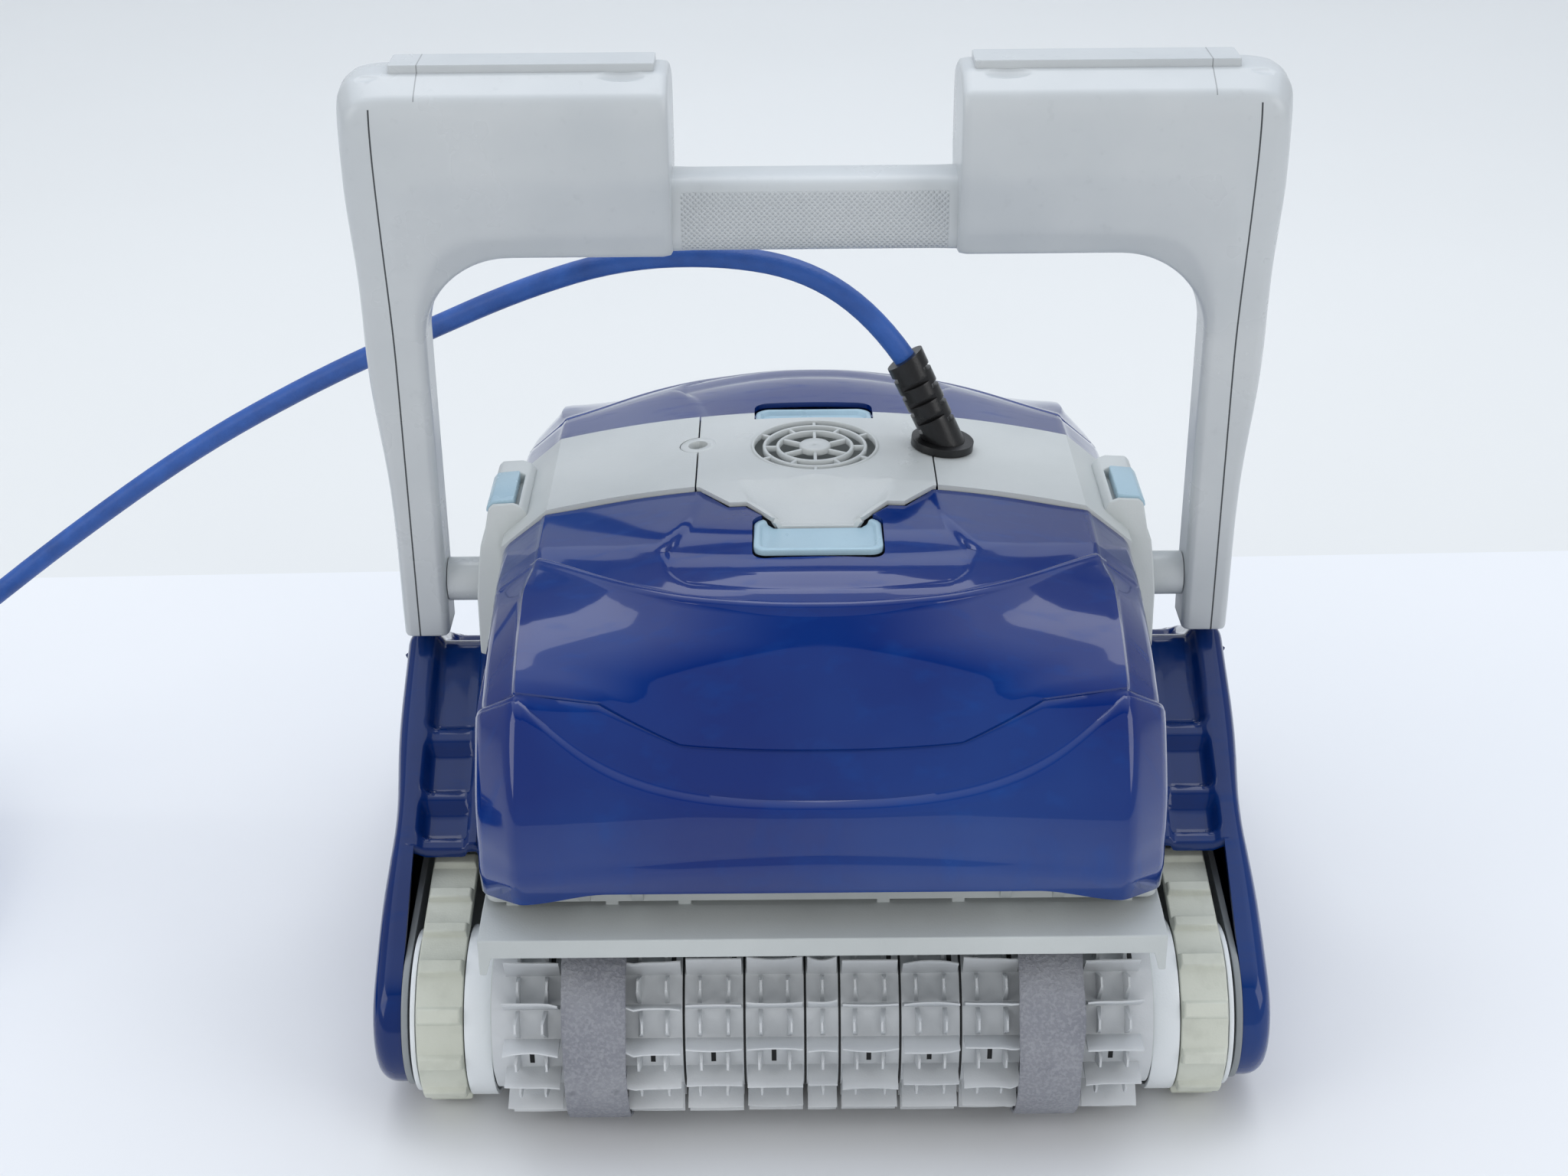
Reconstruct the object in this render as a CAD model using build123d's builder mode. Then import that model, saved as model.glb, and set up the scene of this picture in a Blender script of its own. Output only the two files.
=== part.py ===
from build123d import *
import math
import os

os.makedirs("parts", exist_ok=True)

# Pool cleaner on two rubber tracks. +X is its right side, -Y its front, +Z up.
# The origin is on the floor under the middle of the body.

# ---------------------------------------------------------------- driving sizes, mm
wall = 3.0                 # thickness of the moulded shells
part_gap = 0.4             # gap between neighbouring mouldings
run_fit = 0.05             # radial clearance of a shaft that turns
body_half_x = 152.0        # body sides
screw_radius = 2.0
screw_head_radius = 3.6

# tracks and wheels
axle_y = 150.0             # wheel axles in front of and behind the middle
belt_outer_radius = 40.0
belt_thickness = 4.0
lug_height = 3.0
lug_length = 5.0
lug_count = 38
belt_gap = 0.3             # between a belt and the wheels inside it
track_inner_x = 165.6
track_width = 22.0
flange_thickness = 2.2
flange_gap = 0.6
axle_radius = 6.0
pulley_z = 84.0
pulley_radius = 26.0
shaft_radius = 5.0
end_ring_inner_x = 152.7
end_ring_radius = 40.0
hub_web = 4.0

# gears between a left wheel and its brush
gear_module = 1.25
ring_teeth = 58
pinion_teeth = 36
backlash = 0.35
gear_face = 6.0

# brushes
core_radius = 34.0
core_wall = 3.0
sleeve_thickness = 3.0
brush_radius = 49.5
flap_rows = 15
flap_thickness = 1.6
segment_width = 25.5
centre_segment_width = 13.5
segment_gap = 2.2
climb_ring_width = 30.0
climb_ring_x = 103.5
climb_ring_rise = 2.0
brush_lift = 0.5           # climbing rings stay this far above the floor

# body
tub_half_x = 145.0
tub_half_y = 106.0
tub_floor_z = 16.0
flange_z = 122.0
flange_plate = 4.0
flange_half_y = 176.0
base_plate_thickness = 3.0
band_half_y = 43.0
band_crown_z = 270.0
band_shoulder_x = 129.0
band_shoulder_z = 255.5
band_corner_z = 236.0
outlet_half_x = 57.5
cover_gap = 0.8            # between a filter cover and the band
cover_bottom_z = 131.0
cover_open_y = 181.0
cover_open_z = 139.0
hinge_pin_radius = 2.5

# outlet
duct_radius = 36.0
duct_wall = 2.5
impeller_radius = 33.0
grille_rings = ((7.7, 17.7), (18.9, 24.3), (25.4, 29.5))
grille_spokes = 6
grille_spoke_width = 1.6

# side covers
side_plate_x = 192.0
side_plate_thickness = 3.0
side_cover_outer_x = 209.5
deck_inner_x = 156.0
deck_peak_z = 166.5
deck_end_y = 108.0
deck_end_z = 105.0
side_cover_end_radius = 34.0

# carry handle
pivot_z = 198.0
pivot_pin_radius = 6.0
pivot_boss_radius = 11.0
shoulder_outer_x = 167.0
arm_inner_x = 185.0
arm_seam_x = 199.0
arm_low_outer_x = 208.0
arm_outer_x = 215.0
float_outer_x = 218.5
arm_half_y = 14.0
arm_bottom_z = 172.0
float_inner_x = 66.0
float_bottom_z = 371.0
float_edge_low_z = 409.0
float_edge_high_z = 432.0
float_top_z = 460.0
float_half_y = 30.0
lid_half_y = 13.0
lid_thickness = 2.5
grip_top_z = 409.0
grip_bottom_z = 372.0
arm_fillet = 42.0

# cable
cable_diameter = 11.0
cable_length = 18000.0
gland_x = 62.7
gland_y = 4.3
gland_flange_radius = 15.4
relief_radius = 11.0
coil_middle_diameter = 217.0
coil_section = 54.0


# ---------------------------------------------------------------- derived places
wheel_radius = belt_outer_radius - belt_thickness - belt_gap
axle_z = belt_outer_radius + lug_height
track_outer_x = track_inner_x + track_width
wheel_outer_x = track_outer_x + flange_gap + flange_thickness
loop_circles = (
    (-axle_y, axle_z, wheel_radius + belt_gap),
    (axle_y, axle_z, wheel_radius + belt_gap),
    (0, pulley_z, pulley_radius + belt_gap),
)
gear_offset = gear_module * (ring_teeth - pinion_teeth) / 2
brush_z = brush_radius + climb_ring_rise + brush_lift
brush_y = axle_y + math.sqrt(gear_offset**2 - (brush_z - axle_z) ** 2)
gear_x = end_ring_inner_x + 1.6
carrier_x = gear_x + gear_face + 1.2
carrier_thickness = 4.0
wheel_hub_x = carrier_x + carrier_thickness + part_gap
brush_half_x = end_ring_inner_x - 0.7
flange_top_z = flange_z + flange_plate
cover_half_x = body_half_x


def save(builder, name):
    """Label a finished piece and write it to its own STEP file."""
    builder.part.label = name
    export_step(builder.part, f"parts/{name}.step")


def gear_points(teeth, inner, extra):
    """Outline of a spur gear, or of the space inside a ring gear.

    Flanks are involutes of a 20 degree rack; extra widens each tooth space.
    """
    pitch_r = gear_module * teeth / 2
    base_r = pitch_r * math.cos(math.radians(20))
    tip_r = pitch_r + gear_module * (1.1 if inner else 0.85)
    root_r = pitch_r - gear_module * (0.7 if inner else 1.15)
    involute = lambda r: math.tan(math.acos(base_r / r)) - math.acos(base_r / r)
    half_pitch = math.pi / 2 / teeth - (extra / 2 / pitch_r) * (-1 if inner else 1)
    points = []
    for tooth in range(teeth):
        centre = 2 * math.pi * tooth / teeth
        radii = [max(base_r, root_r) + (tip_r - max(base_r, root_r)) * k / 3 for k in range(4)]
        flank = [(r, half_pitch + involute(pitch_r) - involute(r)) for r in radii]
        if root_r < base_r:
            flank.insert(0, (root_r, flank[0][1]))
        rising = [(r, centre - a) for r, a in flank]
        falling = [(r, centre + a) for r, a in reversed(flank)]
        points += [(r * math.cos(a), r * math.sin(a)) for r, a in rising + falling]
    return points


# ---------------------------------------------------------------- chassis
slot_length = 116.0
slot_width = 16.0
slot_y = 62.0
flap_pin_radius = 1.5
flap_thickness_z = 2.0
flap_pin_z = tub_floor_z + wall + 2.4
flap_pin_y = slot_y - slot_width / 2 - 3.0
side_box_half_y = 94.0
side_box_low_z = 14.0
side_box_high_z = 50.0
ear_width = 5.0
hinge_x = (-95.0, 95.0)
knuckle_half = 9.0
bush_outer_radius = 9.0

with BuildPart() as chassis:
    with BuildSketch(Plane.XY.offset(tub_floor_z)):
        RectangleRounded(2 * tub_half_x, 2 * tub_half_y, 12)
    extrude(amount=flange_z - tub_floor_z)
    with BuildSketch(Plane.XY.offset(flange_z)):
        RectangleRounded(2 * body_half_x, 2 * flange_half_y, 6)
    extrude(amount=flange_plate)
    with BuildSketch(Plane.XY.offset(tub_floor_z + wall)):
        RectangleRounded(2 * (tub_half_x - wall), 2 * (tub_half_y - wall), 9)
    extrude(amount=flange_top_z - tub_floor_z, mode=Mode.SUBTRACT)
    # side boxes that reach through the track loops and carry the side plates
    for side in (-1, 1):
        with BuildSketch(Plane.YZ.offset(side * tub_half_x)) as box_ring:
            with Locations((0, (side_box_low_z + side_box_high_z) / 2)):
                Rectangle(2 * side_box_half_y, side_box_high_z - side_box_low_z)
                Rectangle(
                    2 * (side_box_half_y - wall),
                    side_box_high_z - side_box_low_z - 2 * wall,
                    mode=Mode.SUBTRACT,
                )
        extrude(amount=side * (side_plate_x - tub_half_x))
        with BuildSketch(Plane.YZ.offset(side * (tub_half_x - wall))):
            with Locations((0, pulley_z)):
                Circle(bush_outer_radius)
        extrude(amount=side * wall, mode=Mode.SUBTRACT)
    # intake slots, and the ears that hold the intake flaps
    with BuildSketch(Plane.XY.offset(tub_floor_z)):
        with Locations((0, slot_y), (0, -slot_y)):
            Rectangle(slot_length, slot_width)
    extrude(amount=wall, mode=Mode.SUBTRACT)
    with BuildSketch(Plane.XY.offset(tub_floor_z + wall)):
        for end in (-1, 1):
            for flap_y in (flap_pin_y, -flap_pin_y):
                with Locations((end * (slot_length / 2 + 5), flap_y)):
                    Rectangle(4, 7)
    extrude(amount=6)
    with BuildSketch(Plane.YZ.offset(-slot_length / 2 - 8)):
        with Locations((flap_pin_y, flap_pin_z), (-flap_pin_y, flap_pin_z)):
            Circle(flap_pin_radius + run_fit)
    extrude(amount=slot_length + 16, mode=Mode.SUBTRACT)
    # hinge ears for the two filter covers
    for x in hinge_x:
        for ear in (-1, 1):
            ear_x = x + ear * (knuckle_half + part_gap + ear_width / 2)
            for front in (-1, 1):
                with BuildSketch(Plane.YZ.offset(ear_x - ear_width / 2)):
                    with BuildLine():
                        Polyline(
                            (front * (flange_half_y - 8), flange_z),
                            (front * flange_half_y, flange_z),
                            (front * (cover_open_y + 3.5), cover_open_z - 3),
                            (front * (cover_open_y + 3.5), cover_open_z + 4),
                            (front * (cover_open_y - 4), cover_open_z + 4),
                            (front * (flange_half_y - 8), flange_top_z),
                            close=True,
                        )
                    make_face()
                    with Locations((front * cover_open_y, cover_open_z)):
                        Circle(hinge_pin_radius, mode=Mode.SUBTRACT)
                extrude(amount=ear_width)
save(chassis, "chassis")

with BuildPart() as base_plate:
    with BuildSketch(Plane.XY.offset(tub_floor_z - base_plate_thickness)):
        RectangleRounded(2 * tub_half_x - 8, 2 * tub_half_y - 8, 10)
        with Locations((0, slot_y), (0, -slot_y)):
            Rectangle(slot_length, slot_width, mode=Mode.SUBTRACT)
    extrude(amount=base_plate_thickness)
save(base_plate, "base_plate")

# flaps open upwards when the pump draws water in
with BuildPart() as intake_flap_front:
    with BuildSketch(Plane.XY.offset(flap_pin_z - flap_thickness_z / 2)):
        with Locations((0, -(flap_pin_y + (slot_width + 5) / 2))):
            Rectangle(slot_length + 4, slot_width + 5)
    extrude(amount=flap_thickness_z)
    with BuildSketch(Plane.YZ.offset(-slot_length / 2 - 6.5)):
        with Locations((-flap_pin_y, flap_pin_z)):
            Circle(flap_pin_radius)
    extrude(amount=slot_length + 13)
save(intake_flap_front, "intake_flap_front")

with BuildPart() as intake_flap_rear:
    mirror(intake_flap_front.part, about=Plane.XZ)
save(intake_flap_rear, "intake_flap_rear")

# rubber ring on the rim of the tub, under the covers
seal_height = 2.0
with BuildPart() as cover_seal:
    with BuildSketch(Plane.XY.offset(flange_top_z)):
        RectangleRounded(2 * tub_half_x, 2 * tub_half_y, 12)
        RectangleRounded(2 * (tub_half_x - wall), 2 * (tub_half_y - wall), 9, mode=Mode.SUBTRACT)
    extrude(amount=seal_height)
save(cover_seal, "cover_seal")


# ---------------------------------------------------------------- brush guards
guard_top_z = 118.0
guard_lip_y = 200.0
guard_lip_z = 108.0
guard_inner_y = 150.0
guard_half_x = 153.5
guard_plate = 2.6
guard_rib_x = (-140.0, -95.0, -62.0, 28.0, 62.0, 138.0)

with BuildPart() as brush_guard_front:
    with BuildSketch(Plane.YZ.offset(-guard_half_x)):
        with BuildLine():
            Polyline(
                (-guard_inner_y, guard_top_z - guard_plate),
                (-guard_inner_y, guard_top_z + 1.5),
                (-guard_lip_y + 24, guard_top_z + 1.5),
                (-guard_lip_y, guard_top_z - 0.5),
                (-guard_lip_y, guard_lip_z),
                (-guard_lip_y + guard_plate, guard_lip_z),
                (-guard_lip_y + guard_plate, guard_top_z - guard_plate - 0.5),
                close=True,
            )
        make_face()
    extrude(amount=2 * guard_half_x)
    with BuildSketch(Plane.XY.offset(guard_top_z)):
        for rib_x in guard_rib_x:
            with Locations((rib_x, -(guard_inner_y + 13))):
                Rectangle(6, 24)
    extrude(amount=flange_z - guard_top_z)
    # hooks at both ends of the lip
    for end in (-1, 1):
        with BuildSketch(Plane.XZ.offset(guard_lip_y - guard_plate)):
            with BuildLine():
                Polyline(
                    (end * guard_half_x, guard_lip_z + 2),
                    (end * guard_half_x, guard_lip_z - 9),
                    (end * (guard_half_x - 3), guard_lip_z - 9),
                    (end * (guard_half_x - 6), guard_lip_z + 2),
                    close=True,
                )
            make_face()
        extrude(amount=guard_plate)
save(brush_guard_front, "brush_guard_front")

with BuildPart() as brush_guard_rear:
    mirror(brush_guard_front.part, about=Plane.XZ)
save(brush_guard_rear, "brush_guard_rear")


# ---------------------------------------------------------------- tracks
with BuildPart() as track_right:
    with BuildSketch(Plane.YZ.offset(track_inner_x)) as belt_loop:
        with BuildLine():
            for y, z, r in loop_circles:
                CenterArc((y, z), r + belt_thickness, 0, 360)
        make_hull()
    extrude(amount=track_width)
    with BuildSketch(Plane.YZ.offset(track_inner_x)):
        with BuildLine():
            for y, z, r in loop_circles:
                CenterArc((y, z), r, 0, 360)
        make_hull()
    extrude(amount=track_width, mode=Mode.SUBTRACT)
    belt_path = belt_loop.sketch.face().outer_wire()
    for lug in range(lug_count):
        along = (lug + 0.5) / lug_count
        middle = belt_path.position_at(along)
        seat = Plane(origin=middle, x_dir=belt_path.tangent_at(along), z_dir=(1, 0, 0))
        with BuildSketch(seat):
            Rectangle(lug_length, 2 * lug_height)
        extrude(amount=track_width)
save(track_right, "track_right")

with BuildPart() as track_left:
    mirror(track_right.part, about=Plane.YZ)
save(track_left, "track_left")


# ---------------------------------------------------------------- wheels
def wheel_profile():
    """Half section of a track wheel as (radius, x) points, from the inner end ring outwards."""
    ring_space = gear_module * (ring_teeth / 2 + 1.25)
    rim = 3.0
    web_x = wheel_hub_x + 6
    return (
        (ring_space, end_ring_inner_x),
        (end_ring_radius, end_ring_inner_x),
        (end_ring_radius, track_inner_x - flange_gap),
        (wheel_radius, track_inner_x - flange_gap),
        (wheel_radius, track_outer_x + flange_gap),
        (belt_outer_radius - 2, track_outer_x + flange_gap),
        (belt_outer_radius - 2, wheel_outer_x),
        (wheel_radius - rim, wheel_outer_x),
        (wheel_radius - rim, web_x + hub_web),
        (axle_radius + 5, web_x + hub_web),
        (axle_radius + 5, wheel_outer_x),
        (axle_radius + run_fit, wheel_outer_x),
        (axle_radius + run_fit, wheel_hub_x),
        (axle_radius + 5, wheel_hub_x),
        (axle_radius + 5, web_x),
        (wheel_radius - rim, web_x),
        (wheel_radius - rim, track_inner_x - flange_gap - 2.5),
        (ring_space, track_inner_x - flange_gap - 2.5),
    )


def wheel(front, side, geared):
    """One track wheel with its end ring; a geared ring has teeth inside for the brush."""
    with BuildPart() as piece:
        turn_plane = Plane(origin=(0, front * axle_y, axle_z), x_dir=(0, 0, 1), z_dir=(0, 1, 0))
        with BuildSketch(turn_plane):
            with BuildLine():
                Polyline(*((r, side * x) for r, x in wheel_profile()), close=True)
            make_face()
        revolve(axis=Axis((0, front * axle_y, axle_z), (1, 0, 0)))
        if geared:
            gear_plane = Plane(
                origin=(side * gear_x, front * axle_y, axle_z),
                x_dir=(0, front * (brush_y - axle_y), brush_z - axle_z),
                z_dir=(side, 0, 0),
            )
            with BuildSketch(gear_plane):
                Circle(end_ring_radius - 1)
                with BuildLine():
                    Polyline(*gear_points(ring_teeth, True, backlash), close=True)
                make_face(mode=Mode.SUBTRACT)
            extrude(amount=gear_face)
    return piece


wheel_front_left = wheel(-1, -1, True)
save(wheel_front_left, "wheel_front_left")
wheel_rear_left = wheel(1, -1, True)
save(wheel_rear_left, "wheel_rear_left")
wheel_front_right = wheel(-1, 1, False)
save(wheel_front_right, "wheel_front_right")
wheel_rear_right = wheel(1, 1, False)
save(wheel_rear_right, "wheel_rear_right")

# fixed axles: each carries a wheel, and a crank plate with the pin of a brush
with BuildPart() as wheel_axles:
    for side in (-1, 1):
        for front in (-1, 1):
            with BuildSketch(Plane.YZ.offset(side * carrier_x)):
                with BuildLine():
                    CenterArc((front * axle_y, axle_z), 10, 0, 360)
                    CenterArc((front * brush_y, brush_z), 10, 0, 360)
                make_hull()
            extrude(amount=side * carrier_thickness)
            with BuildSketch(Plane.YZ.offset(side * carrier_x)):
                with Locations((front * axle_y, axle_z)):
                    Circle(axle_radius)
            extrude(amount=side * (side_plate_x + side_plate_thickness - carrier_x))
            with BuildSketch(Plane.YZ.offset(side * carrier_x)):
                with Locations((front * brush_y, brush_z)):
                    Circle(axle_radius)
            extrude(amount=-side * 16)
save(wheel_axles, "wheel_axles")

with BuildPart() as side_plate_right:
    with BuildSketch(Plane.YZ.offset(side_plate_x)):
        with BuildLine():
            CenterArc((-axle_y, axle_z), side_cover_end_radius + 1, 0, 360)
            CenterArc((axle_y, axle_z), side_cover_end_radius + 1, 0, 360)
            CenterArc((0, pulley_z), bush_outer_radius + 8, 0, 360)
        make_hull()
        with Locations((-axle_y, axle_z), (axle_y, axle_z)):
            Circle(axle_radius, mode=Mode.SUBTRACT)
        with Locations((0, pulley_z)):
            Circle(shaft_radius + run_fit, mode=Mode.SUBTRACT)
    extrude(amount=side_plate_thickness)
save(side_plate_right, "side_plate_right")

with BuildPart() as side_plate_left:
    mirror(side_plate_right.part, about=Plane.YZ)
save(side_plate_left, "side_plate_left")


# ---------------------------------------------------------------- drive
motor_half_x = 62.0
motor_half_y = 38.0
motor_low_z = 24.0
motor_top_z = 150.0
motor_boss = 8.0
impeller_shaft_radius = 4.0
shaft_end_x = side_plate_x + side_plate_thickness
shaft_bore_depth = 14.0

with BuildPart() as motor_unit:
    with BuildSketch(Plane.XY.offset(motor_low_z)):
        RectangleRounded(2 * motor_half_x, 2 * motor_half_y, 12)
    extrude(amount=motor_top_z - motor_low_z)
    fillet(motor_unit.faces().sort_by(Axis.Z)[-1].edges(), 5)
    with BuildSketch(Plane.XY.offset(tub_floor_z + wall)):
        with GridLocations(2 * motor_half_x - 30, 2 * motor_half_y - 26, 2, 2):
            Circle(5)
    extrude(amount=motor_low_z - tub_floor_z - wall)
    with BuildSketch(Plane.XY.offset(motor_top_z)):
        Circle(14)
    extrude(amount=motor_boss)
    with BuildSketch(Plane.XY.offset(motor_top_z + motor_boss - shaft_bore_depth)):
        Circle(impeller_shaft_radius + run_fit)
    extrude(amount=shaft_bore_depth, mode=Mode.SUBTRACT)
    for side in (-1, 1):
        with BuildSketch(Plane.YZ.offset(side * motor_half_x)):
            with Locations((0, pulley_z)):
                Circle(14)
        extrude(amount=side * motor_boss)
        with BuildSketch(Plane.YZ.offset(side * (motor_half_x + motor_boss - shaft_bore_depth))):
            with Locations((0, pulley_z)):
                Circle(shaft_radius + run_fit)
        extrude(amount=side * shaft_bore_depth, mode=Mode.SUBTRACT)
save(motor_unit, "motor_unit")

with BuildPart() as drive_bushes:
    for side in (-1, 1):
        with BuildSketch(Plane.YZ.offset(side * (tub_half_x - wall))):
            with Locations((0, pulley_z)):
                Circle(bush_outer_radius)
                Circle(shaft_radius + run_fit, mode=Mode.SUBTRACT)
        extrude(amount=side * wall)
save(drive_bushes, "drive_bushes")

for side, side_name in ((-1, "left"), (1, "right")):
    with BuildPart() as drive_shaft:
        with BuildSketch(Plane.YZ.offset(side * (motor_half_x + motor_boss - shaft_bore_depth + 0.5))):
            with Locations((0, pulley_z)):
                Circle(shaft_radius)
        extrude(amount=side * (shaft_end_x - motor_half_x - motor_boss + shaft_bore_depth - 0.5))
    save(drive_shaft, f"drive_shaft_{side_name}")

    with BuildPart() as drive_pulley:
        with BuildSketch(Plane.YZ.offset(side * (track_inner_x - flange_gap))):
            with Locations((0, pulley_z)):
                Circle(pulley_radius)
        extrude(amount=side * (track_width + 2 * flange_gap))
        with BuildSketch(Plane.YZ.offset(side * (track_inner_x - flange_gap))):
            with Locations((0, pulley_z)):
                with PolarLocations(16.5, 6):
                    Circle(5)
        extrude(amount=side * (track_width + 2 * flange_gap), mode=Mode.SUBTRACT)
        with BuildSketch(Plane.YZ.offset(side * (track_outer_x + flange_gap))):
            with Locations((0, pulley_z)):
                Circle(pulley_radius + belt_thickness)
        extrude(amount=side * flange_thickness)
        with BuildSketch(Plane.YZ.offset(side * (track_inner_x - flange_gap))):
            with Locations((0, pulley_z)):
                Circle(shaft_radius)
        extrude(amount=side * (track_width + 2 * flange_gap + flange_thickness), mode=Mode.SUBTRACT)
    save(drive_pulley, f"drive_pulley_{side_name}")


# ---------------------------------------------------------------- brushes
segment_xs = []
edge_x = centre_segment_width / 2
segment_xs.append((0.0, centre_segment_width))
while edge_x + segment_gap + segment_width <= brush_half_x - 5:
    middle_x = edge_x + segment_gap + segment_width / 2
    segment_xs += [(middle_x, segment_width), (-middle_x, segment_width)]
    edge_x += segment_gap + segment_width
end_width = brush_half_x - 1 - edge_x - segment_gap
if end_width > 4:
    end_x = edge_x + segment_gap + end_width / 2
    segment_xs += [(end_x, end_width), (-end_x, end_width)]

for front, end_name in ((-1, "front"), (1, "rear")):
    centre = (front * brush_y, brush_z)
    with BuildPart() as brush_core:
        with BuildSketch(Plane.YZ.offset(-brush_half_x)):
            with Locations(centre):
                Circle(core_radius)
        extrude(amount=2 * brush_half_x)
        with BuildSketch(Plane.YZ.offset(-brush_half_x + core_wall)):
            with Locations(centre):
                Circle(core_radius - core_wall)
        extrude(amount=2 * (brush_half_x - core_wall), mode=Mode.SUBTRACT)
        # bearing tubes at both ends, and the pinion on the left
        for side in (-1, 1):
            with BuildSketch(Plane.YZ.offset(side * (brush_half_x - 12))):
                with Locations(centre):
                    Circle(axle_radius + 5)
            extrude(amount=side * 12)
        pinion_plane = Plane(
            origin=(-gear_x, front * brush_y, brush_z),
            x_dir=(0, front * (brush_y - axle_y), brush_z - axle_z),
            z_dir=(-1, 0, 0),
        )
        with BuildSketch(pinion_plane):
            with BuildLine():
                Polyline(*gear_points(pinion_teeth, False, backlash), close=True)
            make_face()
        extrude(amount=gear_face)
        with BuildSketch(Plane.YZ.offset(-brush_half_x)):
            with Locations(centre):
                Circle(axle_radius + 5)
        extrude(amount=-(gear_x - brush_half_x))
        for side in (-1, 1):
            with BuildSketch(Plane.YZ.offset(side * (brush_half_x - 13))):
                with Locations(centre):
                    Circle(axle_radius + run_fit)
            extrude(amount=side * (gear_x + gear_face + 1 - brush_half_x + 13), mode=Mode.SUBTRACT)
    save(brush_core, f"brush_core_{end_name}")

    # sleeve of flaps, in segments along the core
    with BuildPart() as brush_sleeve:
        with BuildSketch(Plane.YZ.offset(-brush_half_x + 1)):
            with Locations(centre):
                Circle(core_radius + sleeve_thickness)
                Circle(core_radius, mode=Mode.SUBTRACT)
        extrude(amount=2 * (brush_half_x - 1))
        for segment_x, width in segment_xs:
            with BuildSketch(Plane.YZ.offset(segment_x - width / 2)):
                with Locations(centre):
                    flap_high = brush_radius - core_radius - 1
                    with PolarLocations(core_radius + 1 + flap_high / 2, flap_rows):
                        Rectangle(flap_high, flap_thickness)
            extrude(amount=width)
    save(brush_sleeve, f"brush_sleeve_{end_name}")

    # foam rings that grip the wall while climbing, pulled over the flaps
    with BuildPart() as climbing_rings:
        for ring_x in (-climb_ring_x, climb_ring_x):
            with BuildSketch(Plane.YZ.offset(ring_x - climb_ring_width / 2)):
                with Locations(centre):
                    Circle(brush_radius + climb_ring_rise)
                    Circle(math.hypot(brush_radius, flap_thickness / 2), mode=Mode.SUBTRACT)
            extrude(amount=climb_ring_width)
    save(climbing_rings, f"climbing_rings_{end_name}")


# ---------------------------------------------------------------- impeller and outlet
duct_low_z = motor_top_z
duct_top_z = 263.5
duct_window_high = 26.0
blade_count = 4
blade_thickness = 2.0
blade_pitch = 38.0
impeller_low_z = 205.0
impeller_high = 34.0
hub_radius = 10.0

with BuildPart() as impeller:
    with BuildSketch(Plane.XY.offset(impeller_low_z)):
        Circle(hub_radius)
    extrude(amount=impeller_high)
    fillet(impeller.faces().sort_by(Axis.Z)[-1].edges(), 6)
    for blade in range(blade_count):
        angle = 2 * math.pi * blade / blade_count
        root = Plane(
            origin=(0, 0, impeller_low_z + impeller_high / 2),
            x_dir=(-math.sin(angle), math.cos(angle), 0),
            z_dir=(math.cos(angle), math.sin(angle), 0),
        ).offset(hub_radius - 2)
        with BuildSketch(root):
            Rectangle(blade_thickness, impeller_high - 6, rotation=blade_pitch)
        extrude(amount=impeller_radius - hub_radius + 1)
    with BuildSketch(Plane.XY.offset(motor_top_z + motor_boss - shaft_bore_depth + 0.5)):
        Circle(impeller_shaft_radius)
    extrude(amount=impeller_low_z - motor_top_z - motor_boss + shaft_bore_depth)
save(impeller, "impeller")

with BuildPart() as outlet_duct:
    with BuildSketch(Plane.XY.offset(duct_low_z)):
        Circle(duct_radius + duct_wall)
        Circle(duct_radius, mode=Mode.SUBTRACT)
    extrude(amount=duct_top_z - duct_low_z)
    # four windows at the foot, where the filtered water comes in
    with BuildSketch(Plane.XY.offset(duct_low_z)):
        Rectangle(3 * duct_radius, 36)
        Rectangle(36, 3 * duct_radius)
    extrude(amount=duct_window_high, mode=Mode.SUBTRACT)
save(outlet_duct, "outlet_duct")


# ---------------------------------------------------------------- top band
def band_outline(inset):
    """Arch of the band seen from the front, inset from its outer face."""
    return (
        (band_shoulder_x - inset / 2, band_shoulder_z - inset),
        (body_half_x - inset, band_corner_z - inset / 2),
        (body_half_x - inset, flange_top_z),
    )


def band_arch(builder_plane_y, depth, inset):
    """Solid under the arch, used as a block to add or to cut."""
    with BuildPart() as arch:
        with BuildSketch(Plane.XZ.offset(builder_plane_y)):
            right = band_outline(inset)
            left = [(-x, z) for x, z in reversed(right)]
            with BuildLine():
                ThreePointArc(left[-1], (0, band_crown_z - inset), right[0])
                Polyline(*right)
                Line(right[-1], left[0])
                Polyline(*left)
            make_face()
        extrude(amount=depth)
    return arch.part


band_outer = band_arch(-band_half_y, 2 * band_half_y, 0)
band_inner = band_arch(-band_half_y - 1, 2 * band_half_y + 2, wall)
screw_well = (-outlet_half_x, 7.0)
screw_lug_radius = 9.0
screw_well_radius = 4.6
gland_hole_radius = 9.0
# the crown falls by crown_drop from its middle to the shoulders, nearly as a parabola
crown_drop = band_crown_z - band_shoulder_z
gland_slope = 2 * crown_drop * gland_x / band_shoulder_x**2
gland_top_z = band_crown_z - crown_drop * (gland_x / band_shoulder_x) ** 2
gland_plane = Plane(origin=(gland_x, gland_y, gland_top_z + 0.3), z_dir=(gland_slope, 0, 1))

with BuildPart() as band_whole:
    add(band_outer)
    add(band_inner, mode=Mode.SUBTRACT)

with BuildPart() as outlet_zone:
    with BuildSketch(Plane.XY.offset(flange_top_z)):
        Rectangle(2 * outlet_half_x, 4 * band_half_y)
        with Locations(screw_well):
            Circle(screw_lug_radius)
    extrude(amount=band_crown_z)

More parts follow.
